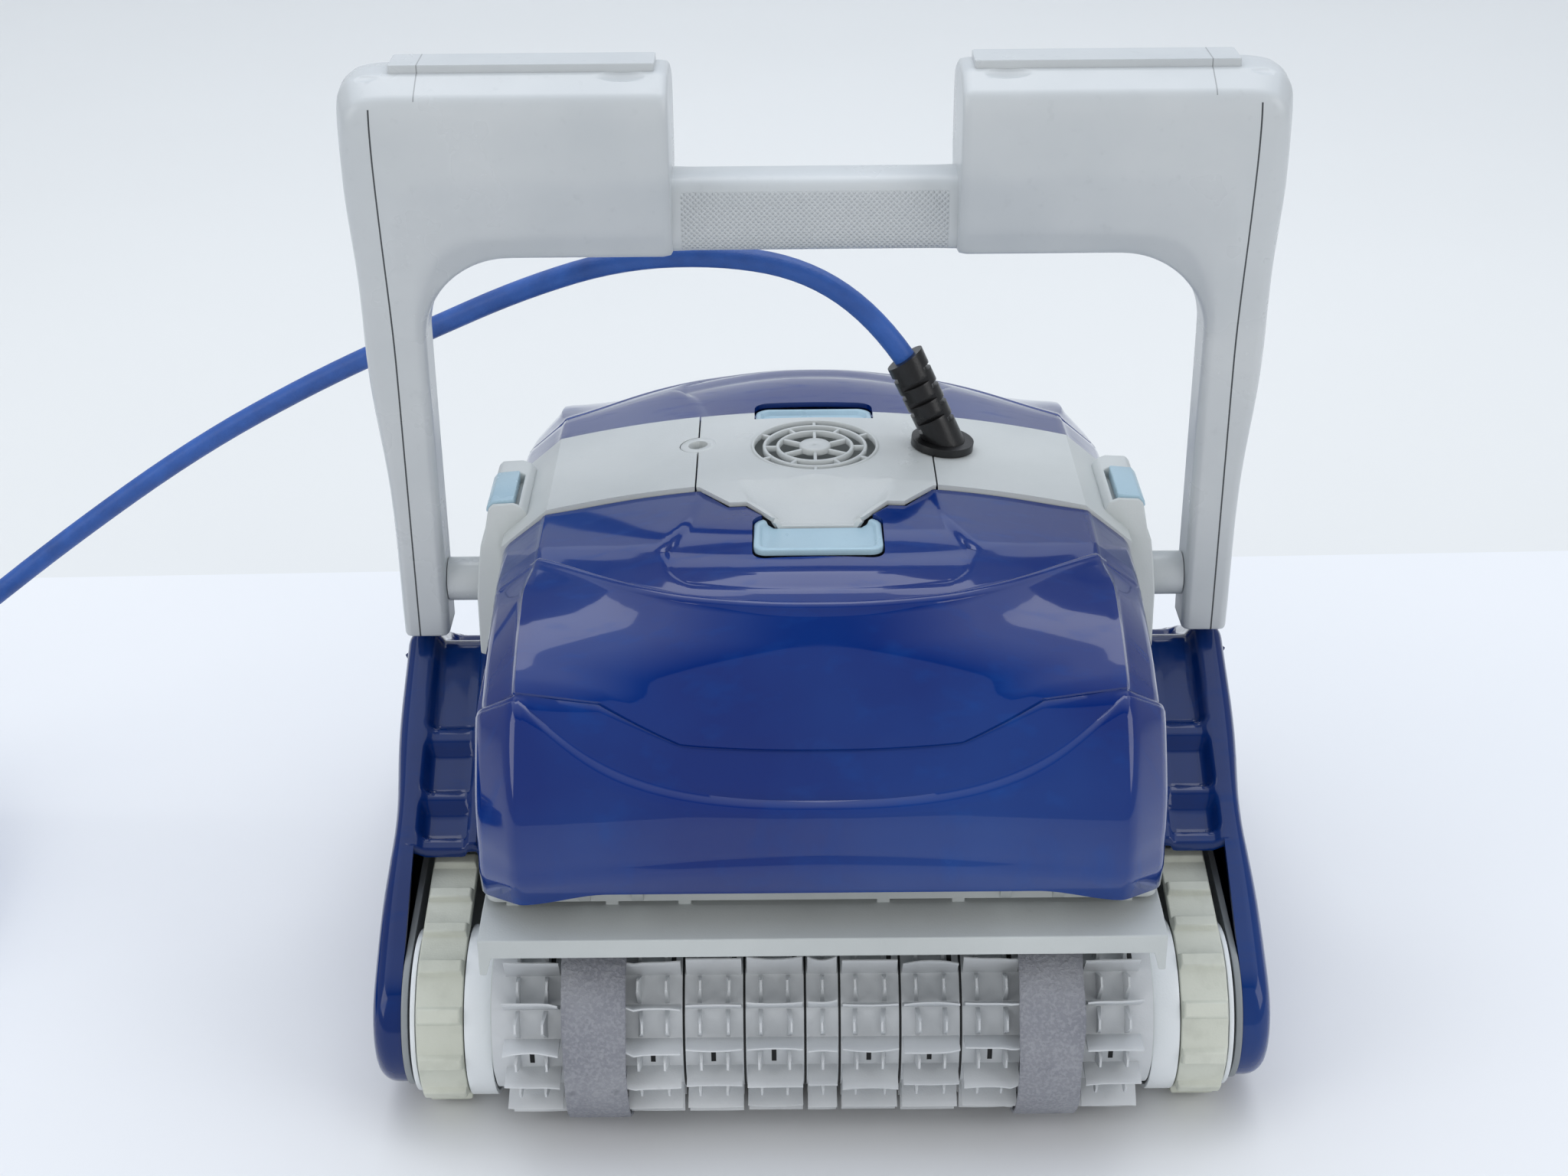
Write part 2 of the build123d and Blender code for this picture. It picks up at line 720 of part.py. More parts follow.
with BuildPart() as outlet_clearance:
    with BuildSketch(Plane.XY.offset(flange_top_z)):
        Rectangle(2 * (outlet_half_x + part_gap), 4 * band_half_y)
        with Locations(screw_well):
            Circle(screw_lug_radius + part_gap)
    extrude(amount=band_crown_z)

for side, side_name in ((-1, "left"), (1, "right")):
    with BuildPart() as top_band:
        add(band_whole.part)
        add(outlet_clearance.part, mode=Mode.SUBTRACT)
        with BuildSketch(Plane.XY):
            with Locations((-side * 2 * body_half_x, 0)):
                Rectangle(4 * body_half_x, 4 * band_half_y)
        extrude(amount=2 * band_crown_z, mode=Mode.SUBTRACT)
        if side > 0:
            with BuildSketch(gland_plane.offset(-20)):
                Circle(gland_hole_radius)
            extrude(amount=40, mode=Mode.SUBTRACT)
    save(top_band, f"top_band_{side_name}")

# outlet cover: middle of the band, with the grille and the nose over the front cover
nose_half_widths = ((outlet_half_x - 1.5, -band_half_y + 3), (41.0, -61.0), (33.0, -61.5), (19.5, -80.0))


def nose_outline(grow):
    """Plan of the nose as points, grown on every side."""
    right = [(x + grow, y - (grow if y < -band_half_y else 0)) for x, y in nose_half_widths]
    left = [(-x, y) for x, y in reversed(right)]
    return right + left


nose_slab = ((-34, 269.0), (-band_half_y, 268.2), (-81, 265.3))

with BuildPart() as nose:
    with BuildSketch(Plane.YZ.offset(-outlet_half_x)):
        with BuildLine():
            Polyline(*nose_slab)
            Polyline(*((y, z - wall) for y, z in reversed(nose_slab)))
            Line(nose_slab[-1], (nose_slab[-1][0], nose_slab[-1][1] - wall))
            Line((nose_slab[0][0], nose_slab[0][1] - wall), nose_slab[0])
        make_face()
    extrude(amount=2 * outlet_half_x)
    with BuildSketch(Plane.XY.offset(cover_bottom_z)):
        with BuildLine():
            Polyline(*nose_outline(0), close=True)
        make_face()
    extrude(amount=band_crown_z, mode=Mode.INTERSECT)

with BuildPart() as outlet_cover:
    add(band_whole.part)
    add(outlet_zone.part, mode=Mode.INTERSECT)
    add(nose.part)
    # round seat of the grille, with openings between its rings and spokes
    grille_outer = grille_rings[-1][1]
    with BuildSketch(Plane.XY.offset(band_crown_z - wall - 1)):
        Circle(grille_outer + 3)
    extrude(amount=wall + 1)
    for ring, (ring_in, ring_out) in enumerate(grille_rings):
        half_step = 180 / grille_spokes
        with BuildSketch(Plane.XY.offset(band_crown_z - wall - 5)):
            Circle(ring_out)
            Circle(ring_in, mode=Mode.SUBTRACT)
            with PolarLocations(
                (ring_in + ring_out) / 2, grille_spokes, start_angle=half_step * (ring + 1)
            ):
                Rectangle(ring_out - ring_in + 2, grille_spoke_width, mode=Mode.SUBTRACT)
        extrude(amount=wall + 6, mode=Mode.SUBTRACT)
    with BuildSketch(gland_plane.offset(-20)):
        Circle(gland_hole_radius)
    extrude(amount=40, mode=Mode.SUBTRACT)
    # screw well
    with BuildSketch(Plane.XY.offset(band_shoulder_z - 10)):
        with Locations(screw_well):
            Circle(screw_well_radius)
    extrude(amount=40, mode=Mode.SUBTRACT)
save(outlet_cover, "outlet_cover")


# ---------------------------------------------------------------- shoulders and handle pivots
shoulder_inner_x = body_half_x + part_gap
shoulder_half_y = 27.0
pod_inner_x = 141.0         # the top of a shoulder reaches over the band's slanted side
pod_top_z = 252.2
pod_outline = ((162.4, 231.8), (159.2, 248.6), (157.0, 250.8))
pod_seat = 0.6              # gap between the pod and the band under it
button_inner_x = 147.0
button_y = (-24.0, 11.0)
button_floor_z = 245.5
button_travel = 2.0         # a button is pressed towards the middle
button_stand = 1.0
shoulder_low_outer_x = deck_inner_x - part_gap


def band_side_z(x):
    """Height of the band's slanted side at x."""
    fall = (band_shoulder_z - band_corner_z) / (body_half_x - band_shoulder_x)
    return band_corner_z + (body_half_x - x) * fall


with BuildPart() as shoulder_right:
    with BuildSketch(Plane.XZ.offset(-shoulder_half_y)):
        with BuildLine():
            Polyline(
                (shoulder_inner_x, flange_top_z),
                (shoulder_low_outer_x, flange_top_z),
                (shoulder_low_outer_x, deck_peak_z + 3),
                (shoulder_outer_x, deck_peak_z + 6),
                (shoulder_outer_x, 203.0),
                (165.4, 219.0),
                (163.8, 230.6),
                *pod_outline,
                (pod_inner_x, pod_top_z),
                (pod_inner_x, band_side_z(pod_inner_x) + pod_seat),
                (shoulder_inner_x, band_side_z(shoulder_inner_x) + pod_seat),
                close=True,
            )
        make_face()
    extrude(amount=2 * shoulder_half_y)
    fillet(shoulder_right.edges().filter_by(Axis.Y).sort_by(Axis.Z)[-2:], 1)
    # pocket of the release button, open above and outside
    with BuildSketch(Plane.XZ.offset(part_gap - button_y[0])):
        with Locations((button_inner_x - button_travel - part_gap, button_floor_z)):
            Rectangle(
                shoulder_outer_x - button_inner_x + 2 * button_travel,
                pod_top_z - button_floor_z + 5,
                align=(Align.MIN, Align.MIN),
            )
    extrude(amount=button_y[0] - button_y[1] - 2 * part_gap, mode=Mode.SUBTRACT)
    # seat of the pivot pin
    with BuildSketch(Plane.YZ.offset(shoulder_outer_x - 8)):
        with Locations((0, pivot_z)):
            Circle(pivot_pin_radius)
    extrude(amount=8, mode=Mode.SUBTRACT)
save(shoulder_right, "shoulder_right")

with BuildPart() as shoulder_left:
    mirror(shoulder_right.part, about=Plane.YZ)
save(shoulder_left, "shoulder_left")

# a release button lies in its pocket, a little proud of the pod's top and side
with BuildPart() as release_button_right:
    with BuildSketch(Plane.XZ.offset(-button_y[0])):
        with BuildLine():
            Polyline(
                (button_inner_x, button_floor_z + part_gap),
                (pod_outline[1][0] + button_stand + 0.5, button_floor_z + part_gap),
                (pod_outline[1][0] + button_stand, pod_outline[1][1]),
                (pod_outline[2][0] + button_stand, pod_outline[2][1] + button_stand),
                (button_inner_x, pod_top_z + button_stand),
                close=True,
            )
        make_face()
    extrude(amount=button_y[0] - button_y[1])
save(release_button_right, "release_button_right")

with BuildPart() as release_button_left:
    mirror(release_button_right.part, about=Plane.YZ)
save(release_button_left, "release_button_left")

with BuildPart() as handle_pivots:
    for side in (-1, 1):
        with BuildSketch(Plane.YZ.offset(side * (shoulder_outer_x - 8))):
            with Locations((0, pivot_z)):
                Circle(pivot_pin_radius)
        extrude(amount=side * (arm_seam_x - 2 - shoulder_outer_x + 8))
        with BuildSketch(Plane.YZ.offset(side * shoulder_outer_x)):
            with Locations((0, pivot_z)):
                Circle(pivot_boss_radius)
        extrude(amount=side * (arm_inner_x - part_gap - shoulder_outer_x))
save(handle_pivots, "handle_pivots")


# ---------------------------------------------------------------- filter covers
latch_half_x = 29.5
# reach of each latch from the middle; the front one is partly under the nose
latch_places = {"front": (73.0, 106.5), "rear": (44.6, 59.0)}
latch_travel = 3.0
latch_thickness = 3.0
latch_top_z = 264.8
# Sections of a front cover across the body: distance from the middle, and (Y, Z) of rear edge,
# ridge, shoulder, visor edge, two points of the front face, smile line, widest point, lower edge.
rear_edge_y = -band_half_y - cover_gap
cover_lower = ((-190.0, 180.0), (-195.5, 153.0), (-188.0, cover_bottom_z))
cover_sections = (
    (0.0, ((rear_edge_y, 265.5), (-112.0, 266.0), (-124.0, 261.0), (-140.0, 251.0), (-160.0, 230.0),
           (-175.0, 206.0), *cover_lower)),
    (40.0, ((rear_edge_y, 264.0), (-104.0, 263.0), (-121.0, 258.5), (-136.0, 250.6), (-157.5, 231.0),
            (-174.5, 206.5), *cover_lower)),
    (78.0, ((rear_edge_y, 260.5), (-90.0, 257.0), (-108.0, 253.5), (-122.5, 249.5), (-150.0, 233.5),
            (-172.0, 210.0), *cover_lower)),
    (133.0, ((rear_edge_y, 251.0), (-70.0, 248.8), (-77.0, 248.0), (-84.0, 247.0), (-127.0, 237.5),
             (-163.0, 221.0), *cover_lower)),
)
cover_facet_angle = 45.0   # of the slanted sides beyond the last section
cover_margin = 60.0        # the block is longer than the cover behind and below, and is trimmed
notch_high = 9.5           # in the lower edge, where it swings past the chassis ears
notch_depth = 20.0
notch_slack = 0.95
ledge_margin = 7.0


def cover_block(inset):
    """Solid block of a front filter cover, inset from its outer faces."""
    lower_y = cover_lower[-1][0]
    corner = inset * math.tan(math.radians(cover_facet_angle / 2))
    open_end = notch_depth if inset else 0.0    # the hollow runs out behind and below
    sketches = []
    for x, outline in cover_sections:
        last = x == cover_sections[-1][0]
        with BuildSketch(Plane.YZ.offset(x - (corner if last else 0))) as section:
            with BuildLine():
                Polyline(
                    *outline,
                    (lower_y, cover_bottom_z - cover_margin),
                    (rear_edge_y + cover_margin, cover_bottom_z - cover_margin),
                    (rear_edge_y + cover_margin, outline[0][1]),
                    close=True,
                )
            make_face()
            if inset:
                offset(amount=-inset, kind=Kind.INTERSECTION)
        sketches.append(section.sketch)
    with BuildPart() as block:
        for inner, outer in zip(sketches, sketches[1:]):
            loft([inner, outer], ruled=True)
        facet_depth = cover_half_x - cover_sections[-1][0] + corner + 1
        extrude(sketches[-1], amount=facet_depth, taper=cover_facet_angle)
        mirror(about=Plane.YZ)
        # trim to the rear edge, the lower edge and the flat sides
        with BuildSketch(Plane.XZ.offset(-rear_edge_y - open_end)):
            with Locations((0, cover_bottom_z - open_end)):
                Rectangle(2 * (cover_half_x - inset), band_crown_z, align=(Align.CENTER, Align.MIN))
        extrude(amount=band_crown_z, mode=Mode.INTERSECT)
    return block.part


cover_shell_outer = cover_block(0)
cover_shell_inner = cover_block(wall)

for end_name, latch_y in latch_places.items():
    # ledge under the latch, inside the shell
    with BuildPart() as latch_ledge:
        with BuildSketch(Plane.XY.offset(latch_top_z - 2 * latch_thickness - part_gap)):
            with Locations((0, -(latch_y[0] + latch_y[1]) / 2)):
                Rectangle(2 * (latch_half_x + ledge_margin), latch_y[1] - latch_y[0] + 3 * ledge_margin)
        extrude(amount=2 * latch_thickness)
        add(cover_shell_outer, mode=Mode.INTERSECT)

    # both ends are drawn as the front one, and the rear one is mirrored at the end
    with BuildPart() as cover:
        add(cover_shell_outer)
        add(cover_shell_inner, mode=Mode.SUBTRACT)
        add(latch_ledge.part)
        with BuildSketch(Plane.XY.offset(latch_top_z - latch_thickness - part_gap)):
            with Locations((0, -latch_y[0] + part_gap)):
                Rectangle(
                    2 * (latch_half_x + part_gap),
                    latch_y[1] - latch_y[0] + latch_travel + 2 * part_gap,
                    align=(Align.CENTER, Align.MAX),
                )
            if end_name == "rear":
                with Locations((0, rear_edge_y)):
                    Rectangle(2 * (latch_half_x + part_gap), 4)
        extrude(amount=4 * ledge_margin, mode=Mode.SUBTRACT)
        if end_name == "front":
            # notch for the nose of the outlet cover
            with BuildSketch(Plane.XY.offset(cover_bottom_z + cover_margin)):
                with BuildLine():
                    Polyline(*nose_outline(cover_gap), close=True)
                make_face()
            extrude(amount=band_crown_z, mode=Mode.SUBTRACT)
        # hinge knuckles behind the lower edge
        for x in hinge_x:
            with BuildSketch(Plane.YZ.offset(x - knuckle_half)):
                with Locations((-cover_open_y, cover_open_z)):
                    Circle(hinge_pin_radius + 2.5)
                with BuildLine():
                    Polyline(
                        (-cover_open_y, cover_open_z - 4),
                        (-cover_open_y - 9, cover_open_z - 3),
                        (-cover_open_y - 11, cover_open_z + 4.5),
                        (-cover_open_y, cover_open_z + 4.5),
                        close=True,
                    )
                make_face()
            extrude(amount=2 * knuckle_half)
            with BuildSketch(Plane.YZ.offset(x - knuckle_half)):
                with Locations((-cover_open_y, cover_open_z)):
                    Circle(hinge_pin_radius + run_fit)
            extrude(amount=2 * knuckle_half, mode=Mode.SUBTRACT)
            # notches in the lower edge, which swings past the ears of the chassis
            for ear in (-1, 1):
                ear_x = x + ear * (knuckle_half + part_gap + ear_width / 2)
                with BuildSketch(Plane.XY.offset(cover_bottom_z)):
                    with Locations((ear_x, -cover_open_y - notch_depth / 2)):
                        Rectangle(ear_width + 2 * part_gap * notch_slack, notch_depth)
                extrude(amount=notch_high, mode=Mode.SUBTRACT)
        if end_name == "rear":
            mirror(about=Plane.XZ, mode=Mode.REPLACE)
    save(cover, f"cover_{end_name}")

    bowl_depth = min(12.0, (latch_y[1] - latch_y[0]) / 2)
    with BuildPart() as latch:
        with BuildSketch(Plane.XY.offset(latch_top_z - latch_thickness)):
            with Locations((0, -latch_y[0])):
                Rectangle(2 * latch_half_x, latch_y[1] - latch_y[0], align=(Align.CENTER, Align.MAX))
            if end_name == "front":
                with BuildLine():
                    Polyline(*nose_outline(cover_gap), close=True)
                make_face(mode=Mode.SUBTRACT)
        extrude(amount=latch_thickness)
        # thumb bowl
        with BuildSketch(Plane.XY.offset(latch_top_z - 1.2)):
            with Locations((0, -latch_y[1] + bowl_depth / 2 + 4)):
                RectangleRounded(34, bowl_depth, bowl_depth / 3)
        extrude(amount=2, mode=Mode.SUBTRACT)
        if end_name == "rear":
            mirror(about=Plane.XZ, mode=Mode.REPLACE)
    save(latch, f"latch_{end_name}")

with BuildPart() as cover_hinge_pins:
    for front in (-1, 1):
        for x in hinge_x:
            reach = knuckle_half + part_gap + ear_width
            with BuildSketch(Plane.YZ.offset(x - reach)):
                with Locations((front * cover_open_y, cover_open_z)):
                    Circle(hinge_pin_radius)
            extrude(amount=2 * reach)
save(cover_hinge_pins, "cover_hinge_pins")


# ---------------------------------------------------------------- filters
basket_half_x = 136.0
basket_y = (46.0, 99.0)
basket_z = (46.0, 196.0)
basket_wall = 2.0
window_count = 4
panel_thickness = 10.0
pleat_count = 18

for front, end_name in ((-1, "front"), (1, "rear")):
    middle_y = front * (basket_y[0] + basket_y[1]) / 2
    depth = basket_y[1] - basket_y[0]
    with BuildPart() as filter_basket:
        with BuildSketch(Plane.XY.offset(basket_z[0])):
            with Locations((0, middle_y)):
                Rectangle(2 * basket_half_x, depth)
        extrude(amount=basket_z[1] - basket_z[0])
        with BuildSketch(Plane.XY.offset(basket_z[0] + basket_wall)):
            with Locations((0, middle_y)):
                Rectangle(2 * (basket_half_x - basket_wall), depth - 2 * basket_wall)
        extrude(amount=basket_z[1] - basket_z[0], mode=Mode.SUBTRACT)
        # windows in the long sides, and the mouth over the intake slot
        window = 2 * basket_half_x / window_count - 14
        with BuildSketch(Plane.XZ.offset(-middle_y - depth)):
            with Locations((0, (basket_z[0] + basket_z[1]) / 2)):
                with GridLocations(2 * basket_half_x / window_count, 1, window_count, 1):
                    Rectangle(window, basket_z[1] - basket_z[0] - 30)
        extrude(amount=2 * depth, mode=Mode.SUBTRACT)
        with BuildSketch(Plane.XY.offset(basket_z[0])):
            with Locations((0, front * (slot_y + 8))):
                Rectangle(slot_length - 10, slot_width + 8)
        extrude(amount=basket_wall, mode=Mode.SUBTRACT)
    save(filter_basket, f"filter_basket_{end_name}")

    # pleated cartridges inside the windows
    with BuildPart() as filter_panels:
        pleat = 2 * (basket_half_x - 6) / pleat_count
        for wall_y in (basket_y[0] + basket_wall + 0.5, basket_y[1] - basket_wall - 0.5 - panel_thickness):
            zigzag = [
                (-basket_half_x + 6 + k * pleat / 2, (k % 2) * (panel_thickness - 2)) for k in range(2 * pleat_count + 1)
            ]
            with BuildSketch(Plane.XY.offset(basket_z[0] + basket_wall + 4)):
                with BuildLine():
                    Polyline(
                        *((x, front * (wall_y + y)) for x, y in zigzag),
                        *((x, front * (wall_y + y + 2)) for x, y in reversed(zigzag)),
                        close=True,
                    )
                make_face()
            extrude(amount=basket_z[1] - basket_z[0] - basket_wall - 10)
    save(filter_panels, f"filter_panels_{end_name}")


# ---------------------------------------------------------------- side covers
side_cover_inner_x = side_plate_x + side_plate_thickness + 0.2
hump_top_z = deck_peak_z + 3.0
deck_rib_y = (52.0, 84.0)
deck_rib_width = 5.0
deck_rib_high = 3.0
deck_rim_x = 168.0


def deck_z(y):
    """Height of the deck's upper face."""
    return deck_peak_z - (deck_peak_z - deck_end_z) * abs(y) / deck_end_y


def side_outline(inset):
    """Outline of a side cover seen from the side: a hull round both wheels and the peak."""
    with BuildSketch(Plane.YZ) as outline:
        with BuildLine():
            for y in (-axle_y, axle_y):
                CenterArc((y, axle_z), side_cover_end_radius - inset, 0, 360)
            Polyline(
                (-deck_end_y + inset, deck_end_z + 3 - inset),
                (-shoulder_half_y, deck_z(shoulder_half_y) + 3 - inset),
                (0, hump_top_z - inset),
                (shoulder_half_y, deck_z(shoulder_half_y) + 3 - inset),
                (deck_end_y - inset, deck_end_z + 3 - inset),
            )
        make_hull()
    return outline.sketch_local


with BuildPart() as side_cover_right:
    with BuildSketch(Plane.YZ.offset(side_cover_inner_x)):
        add(side_outline(0))
    extrude(amount=side_cover_outer_x - side_cover_inner_x)
    fillet(side_cover_right.faces().sort_by(Axis.X)[-1].edges(), 7)
    with BuildSketch(Plane.YZ.offset(side_cover_inner_x)):
        add(side_outline(wall))
    extrude(amount=side_cover_outer_x - side_cover_inner_x - wall, taper=18, mode=Mode.SUBTRACT)
    # deck over the track, with its end lips, rims, ribs and the wall beside the body
    with BuildSketch(Plane.YZ.offset(deck_inner_x)):
        with BuildLine():
            Polyline(
                (-deck_end_y, deck_end_z),
                (0, deck_peak_z),
                (deck_end_y, deck_end_z),
                (deck_end_y, deck_end_z - wall - 2),
                (deck_end_y - wall, deck_end_z - wall),
                (0, deck_peak_z - wall),
                (-deck_end_y + wall, deck_end_z - wall),
                (-deck_end_y, deck_end_z - wall - 2),
                close=True,
            )
        make_face()
    extrude(amount=side_cover_inner_x + 2 - deck_inner_x)
    with BuildSketch(Plane.YZ.offset(deck_inner_x)):
        with BuildLine():
            Polyline(
                (-63, deck_z(63) - 1),
                (0, deck_peak_z - 1),
                (63, deck_z(63) - 1),
                (63, flange_top_z + 0.5),
                (-63, flange_top_z + 0.5),
                close=True,
            )
        make_face()
    extrude(amount=2.5)
    with BuildSketch(Plane.YZ.offset(deck_rim_x)):
        with BuildLine():
            Polyline(
                (-deck_end_y, deck_end_z - 1),
                (0, deck_peak_z - 1),
                (deck_end_y, deck_end_z - 1),
                (deck_end_y, deck_end_z + 2.4),
                (shoulder_half_y + 4, deck_z(shoulder_half_y + 4) + 2.4),
                (shoulder_half_y, deck_z(shoulder_half_y) + 0.2),
                (0, deck_peak_z + 0.2),
                (-shoulder_half_y, deck_z(shoulder_half_y) + 0.2),
                (-shoulder_half_y - 4, deck_z(shoulder_half_y + 4) + 2.4),
                (-deck_end_y, deck_end_z + 2.4),
                close=True,
            )
        make_face()
    extrude(amount=3)
    for rib_y in deck_rib_y:
        for front in (-1, 1):
            with BuildSketch(Plane.XZ.offset(-front * rib_y - deck_rib_width / 2)):
                with BuildLine():
                    Polyline(
                        (deck_rim_x, deck_z(rib_y) - 2),
                        (side_cover_inner_x + 3, deck_z(rib_y) - 2),
                        (side_cover_inner_x + 3, deck_z(rib_y) + deck_rib_high),
                        (deck_rim_x, deck_z(rib_y) + deck_rib_high - 0.5),
                        close=True,
                    )
                make_face()
            extrude(amount=deck_rib_width)
    # screw posts that stand on the side plate
    post_places = [(-axle_y + 22, axle_z + 6), (0, pulley_z - 24), (axle_y - 22, axle_z + 6)]
    with BuildSketch(Plane.YZ.offset(side_plate_x + side_plate_thickness)):
        with Locations(*post_places):
            Circle(screw_head_radius + 1.6)
    extrude(amount=side_cover_outer_x - 2 - side_plate_x - side_plate_thickness)
    with BuildSketch(Plane.YZ.offset(side_plate_x + side_plate_thickness)):
        with Locations(*post_places):
            Circle(screw_radius)
    extrude(amount=20, mode=Mode.SUBTRACT)
    with BuildSketch(Plane.YZ.offset(side_cover_outer_x - 4)):
        with Locations(*post_places):
            Circle(screw_head_radius + 0.3)
    extrude(amount=10, mode=Mode.SUBTRACT)
save(side_cover_right, "side_cover_right")

with BuildPart() as side_cover_left:
    mirror(side_cover_right.part, about=Plane.YZ)
save(side_cover_left, "side_cover_left")

with BuildPart() as case_screws:
    for side in (-1, 1):
        with BuildSketch(Plane.YZ.offset(side * (side_plate_x + side_plate_thickness))):
            with Locations(*post_places):
                Circle(screw_radius)
        extrude(amount=side * (side_cover_outer_x - 4 - side_plate_x - side_plate_thickness))
        with BuildSketch(Plane.YZ.offset(side * (side_cover_outer_x - 4))):
            with Locations(*post_places):
                Circle(screw_head_radius)
        extrude(amount=side * 2.5)
    with BuildSketch(Plane.XY.offset(band_shoulder_z)):
        with Locations(screw_well):
            Circle(screw_well_radius)
    extrude(amount=3)
save(case_screws, "case_screws")


# ---------------------------------------------------------------- carry handle
float_section = (
    (0, float_bottom_z),
    (6, float_bottom_z),
    (float_half_y, float_edge_low_z),
    (float_half_y, float_edge_high_z),
    (float_half_y - 3, float_edge_high_z + 10),
    (lid_half_y, float_top_z),
    (0, float_top_z),
)


def float_profile(inset):
    """Cross section of a float box, as a closed face."""
    with BuildSketch(Plane.YZ) as profile:
        with BuildLine():
            Polyline(*float_section, *((-y, z) for y, z in reversed(float_section[1:-1])), close=True)
        make_face()
        fillet(profile.vertices().filter_by(lambda v: float_bottom_z + 1 < v.Z < float_top_z - 1), 4)
        if inset:
            offset(amount=-inset, kind=Kind.INTERSECTION)
    return profile.sketch_local


def arm_outline():
    """Right arm seen from the front, from its rounded lower end up into the float."""
    return (
        (arm_inner_x, arm_bottom_z),
        (arm_low_outer_x, arm_bottom_z),
        (arm_low_outer_x, 252),
        (arm_outer_x, 271),
        (arm_outer_x, float_bottom_z + 10),
        (arm_inner_x, float_bottom_z + 10),
    )


with BuildPart() as arm_right:
    with BuildSketch(Plane.XZ.offset(-arm_half_y)):
        with BuildLine():
            Polyline(*arm_outline(), close=True)
        make_face()
        # rounded corner between the arm and the float
        with BuildLine():
            Polyline(
                (arm_inner_x + 1, float_bottom_z - arm_fillet),
                (arm_inner_x, float_bottom_z - arm_fillet),
            )
            RadiusArc(
                (arm_inner_x, float_bottom_z - arm_fillet),
                (arm_inner_x - arm_fillet, float_bottom_z),
                -arm_fillet,
            )
            Polyline(
                (arm_inner_x - arm_fillet, float_bottom_z),
                (arm_inner_x - arm_fillet, float_bottom_z + 3),
                (arm_inner_x + 1, float_bottom_z + 3),
                (arm_inner_x + 1, float_bottom_z - arm_fillet),
            )
        make_face()
    extrude(amount=2 * arm_half_y)
    # lower end round about the pivot
    with BuildSketch(Plane.YZ.offset(arm_inner_x - 60)):
        with Locations((0, (arm_bottom_z + float_top_z) / 2)):
            RectangleRounded(2 * arm_half_y, float_top_z - arm_bottom_z, 11.5)
    extrude(amount=100, mode=Mode.INTERSECT)
    with BuildSketch(Plane.YZ.offset(arm_inner_x - 1)):
        with Locations((0, pivot_z)):
            Circle(pivot_pin_radius + run_fit)
    extrude(amount=arm_seam_x - arm_inner_x, mode=Mode.SUBTRACT)

with BuildPart() as seam_block:
    with BuildSketch(Plane.XY.offset(arm_bottom_z - 5)):
        with Locations((arm_seam_x, 0)):
            Rectangle(60, 100, align=(Align.MIN, Align.CENTER))
    extrude(amount=float_top_z)

float_wall = 2.5

with BuildPart() as handle_half:
    with BuildSketch(Plane.YZ.offset(float_inner_x)):
        add(float_profile(0))
    extrude(amount=float_outer_x - float_inner_x)
    add(arm_right.part)
    with BuildSketch(Plane.YZ.offset(float_inner_x + float_wall)):
        add(float_profile(float_wall))
    extrude(amount=arm_seam_x - float_inner_x - 2 * float_wall, mode=Mode.SUBTRACT)
    # mouth under the lid
    with BuildSketch(Plane.XY.offset(float_top_z - lid_thickness)):
        with Locations(((float_inner_x + arm_seam_x) / 2, 0)):
            Rectangle(arm_seam_x - float_inner_x - 12, 2 * lid_half_y - 4)
    extrude(amount=2 * lid_thickness, mode=Mode.SUBTRACT)
    with BuildSketch(Plane.XY.offset(float_top_z - 3 * lid_thickness)):
        with Locations(((float_inner_x + arm_seam_x) / 2, 0)):
            Rectangle(arm_seam_x - float_inner_x - 20, 2 * lid_half_y - 10)
    extrude(amount=4 * lid_thickness, mode=Mode.SUBTRACT)

with BuildPart() as handle_shell_right:
    add(handle_half.part)
    add(seam_block.part, mode=Mode.INTERSECT)
save(handle_shell_right, "handle_shell_right")

with BuildPart() as handle_shell_left:
    mirror(handle_shell_right.part, about=Plane.YZ)
save(handle_shell_left, "handle_shell_left")

grip_half_y = 15.0
with BuildPart() as handle_frame:
    add(handle_half.part)
    add(seam_block.part, mode=Mode.SUBTRACT)
    mirror(about=Plane.YZ)
    with BuildSketch(Plane.YZ.offset(-float_inner_x)):
        with Locations((0, (grip_bottom_z + grip_top_z) / 2)):
            RectangleRounded(2 * grip_half_y, grip_top_z - grip_bottom_z, 10)
    extrude(amount=2 * float_inner_x)
save(handle_frame, "handle_frame")

with BuildPart() as float_lids:
    with BuildSketch(Plane.XY.offset(float_top_z - lid_thickness)):
        with GridLocations(float_inner_x + arm_seam_x, 1, 2, 1):
            Rectangle(arm_seam_x - float_inner_x - 12 - 2 * part_gap, 2 * lid_half_y - 4 - 2 * part_gap)
    extrude(amount=lid_thickness + 1.5)
save(float_lids, "float_lids")

with BuildPart() as float_blocks:
    for side in (-1, 1):
        with BuildSketch(Plane.YZ.offset(side * (float_inner_x + float_wall + 1))):
            add(float_profile(float_wall + 1))
        extrude(amount=side * (arm_seam_x - float_inner_x - 2 * float_wall - 2))
    with BuildSketch(Plane.XY.offset(float_top_z - 3 * lid_thickness - 1)):
        Rectangle(4 * arm_seam_x, 4 * float_half_y)
    extrude(amount=40, mode=Mode.SUBTRACT)
save(float_blocks, "float_blocks")


# ---------------------------------------------------------------- cable
gland_plate = 4.0
relief_start = gland_plane.offset(gland_plate).origin
relief_tip = Vector(44.0, 10.0, 311.0)
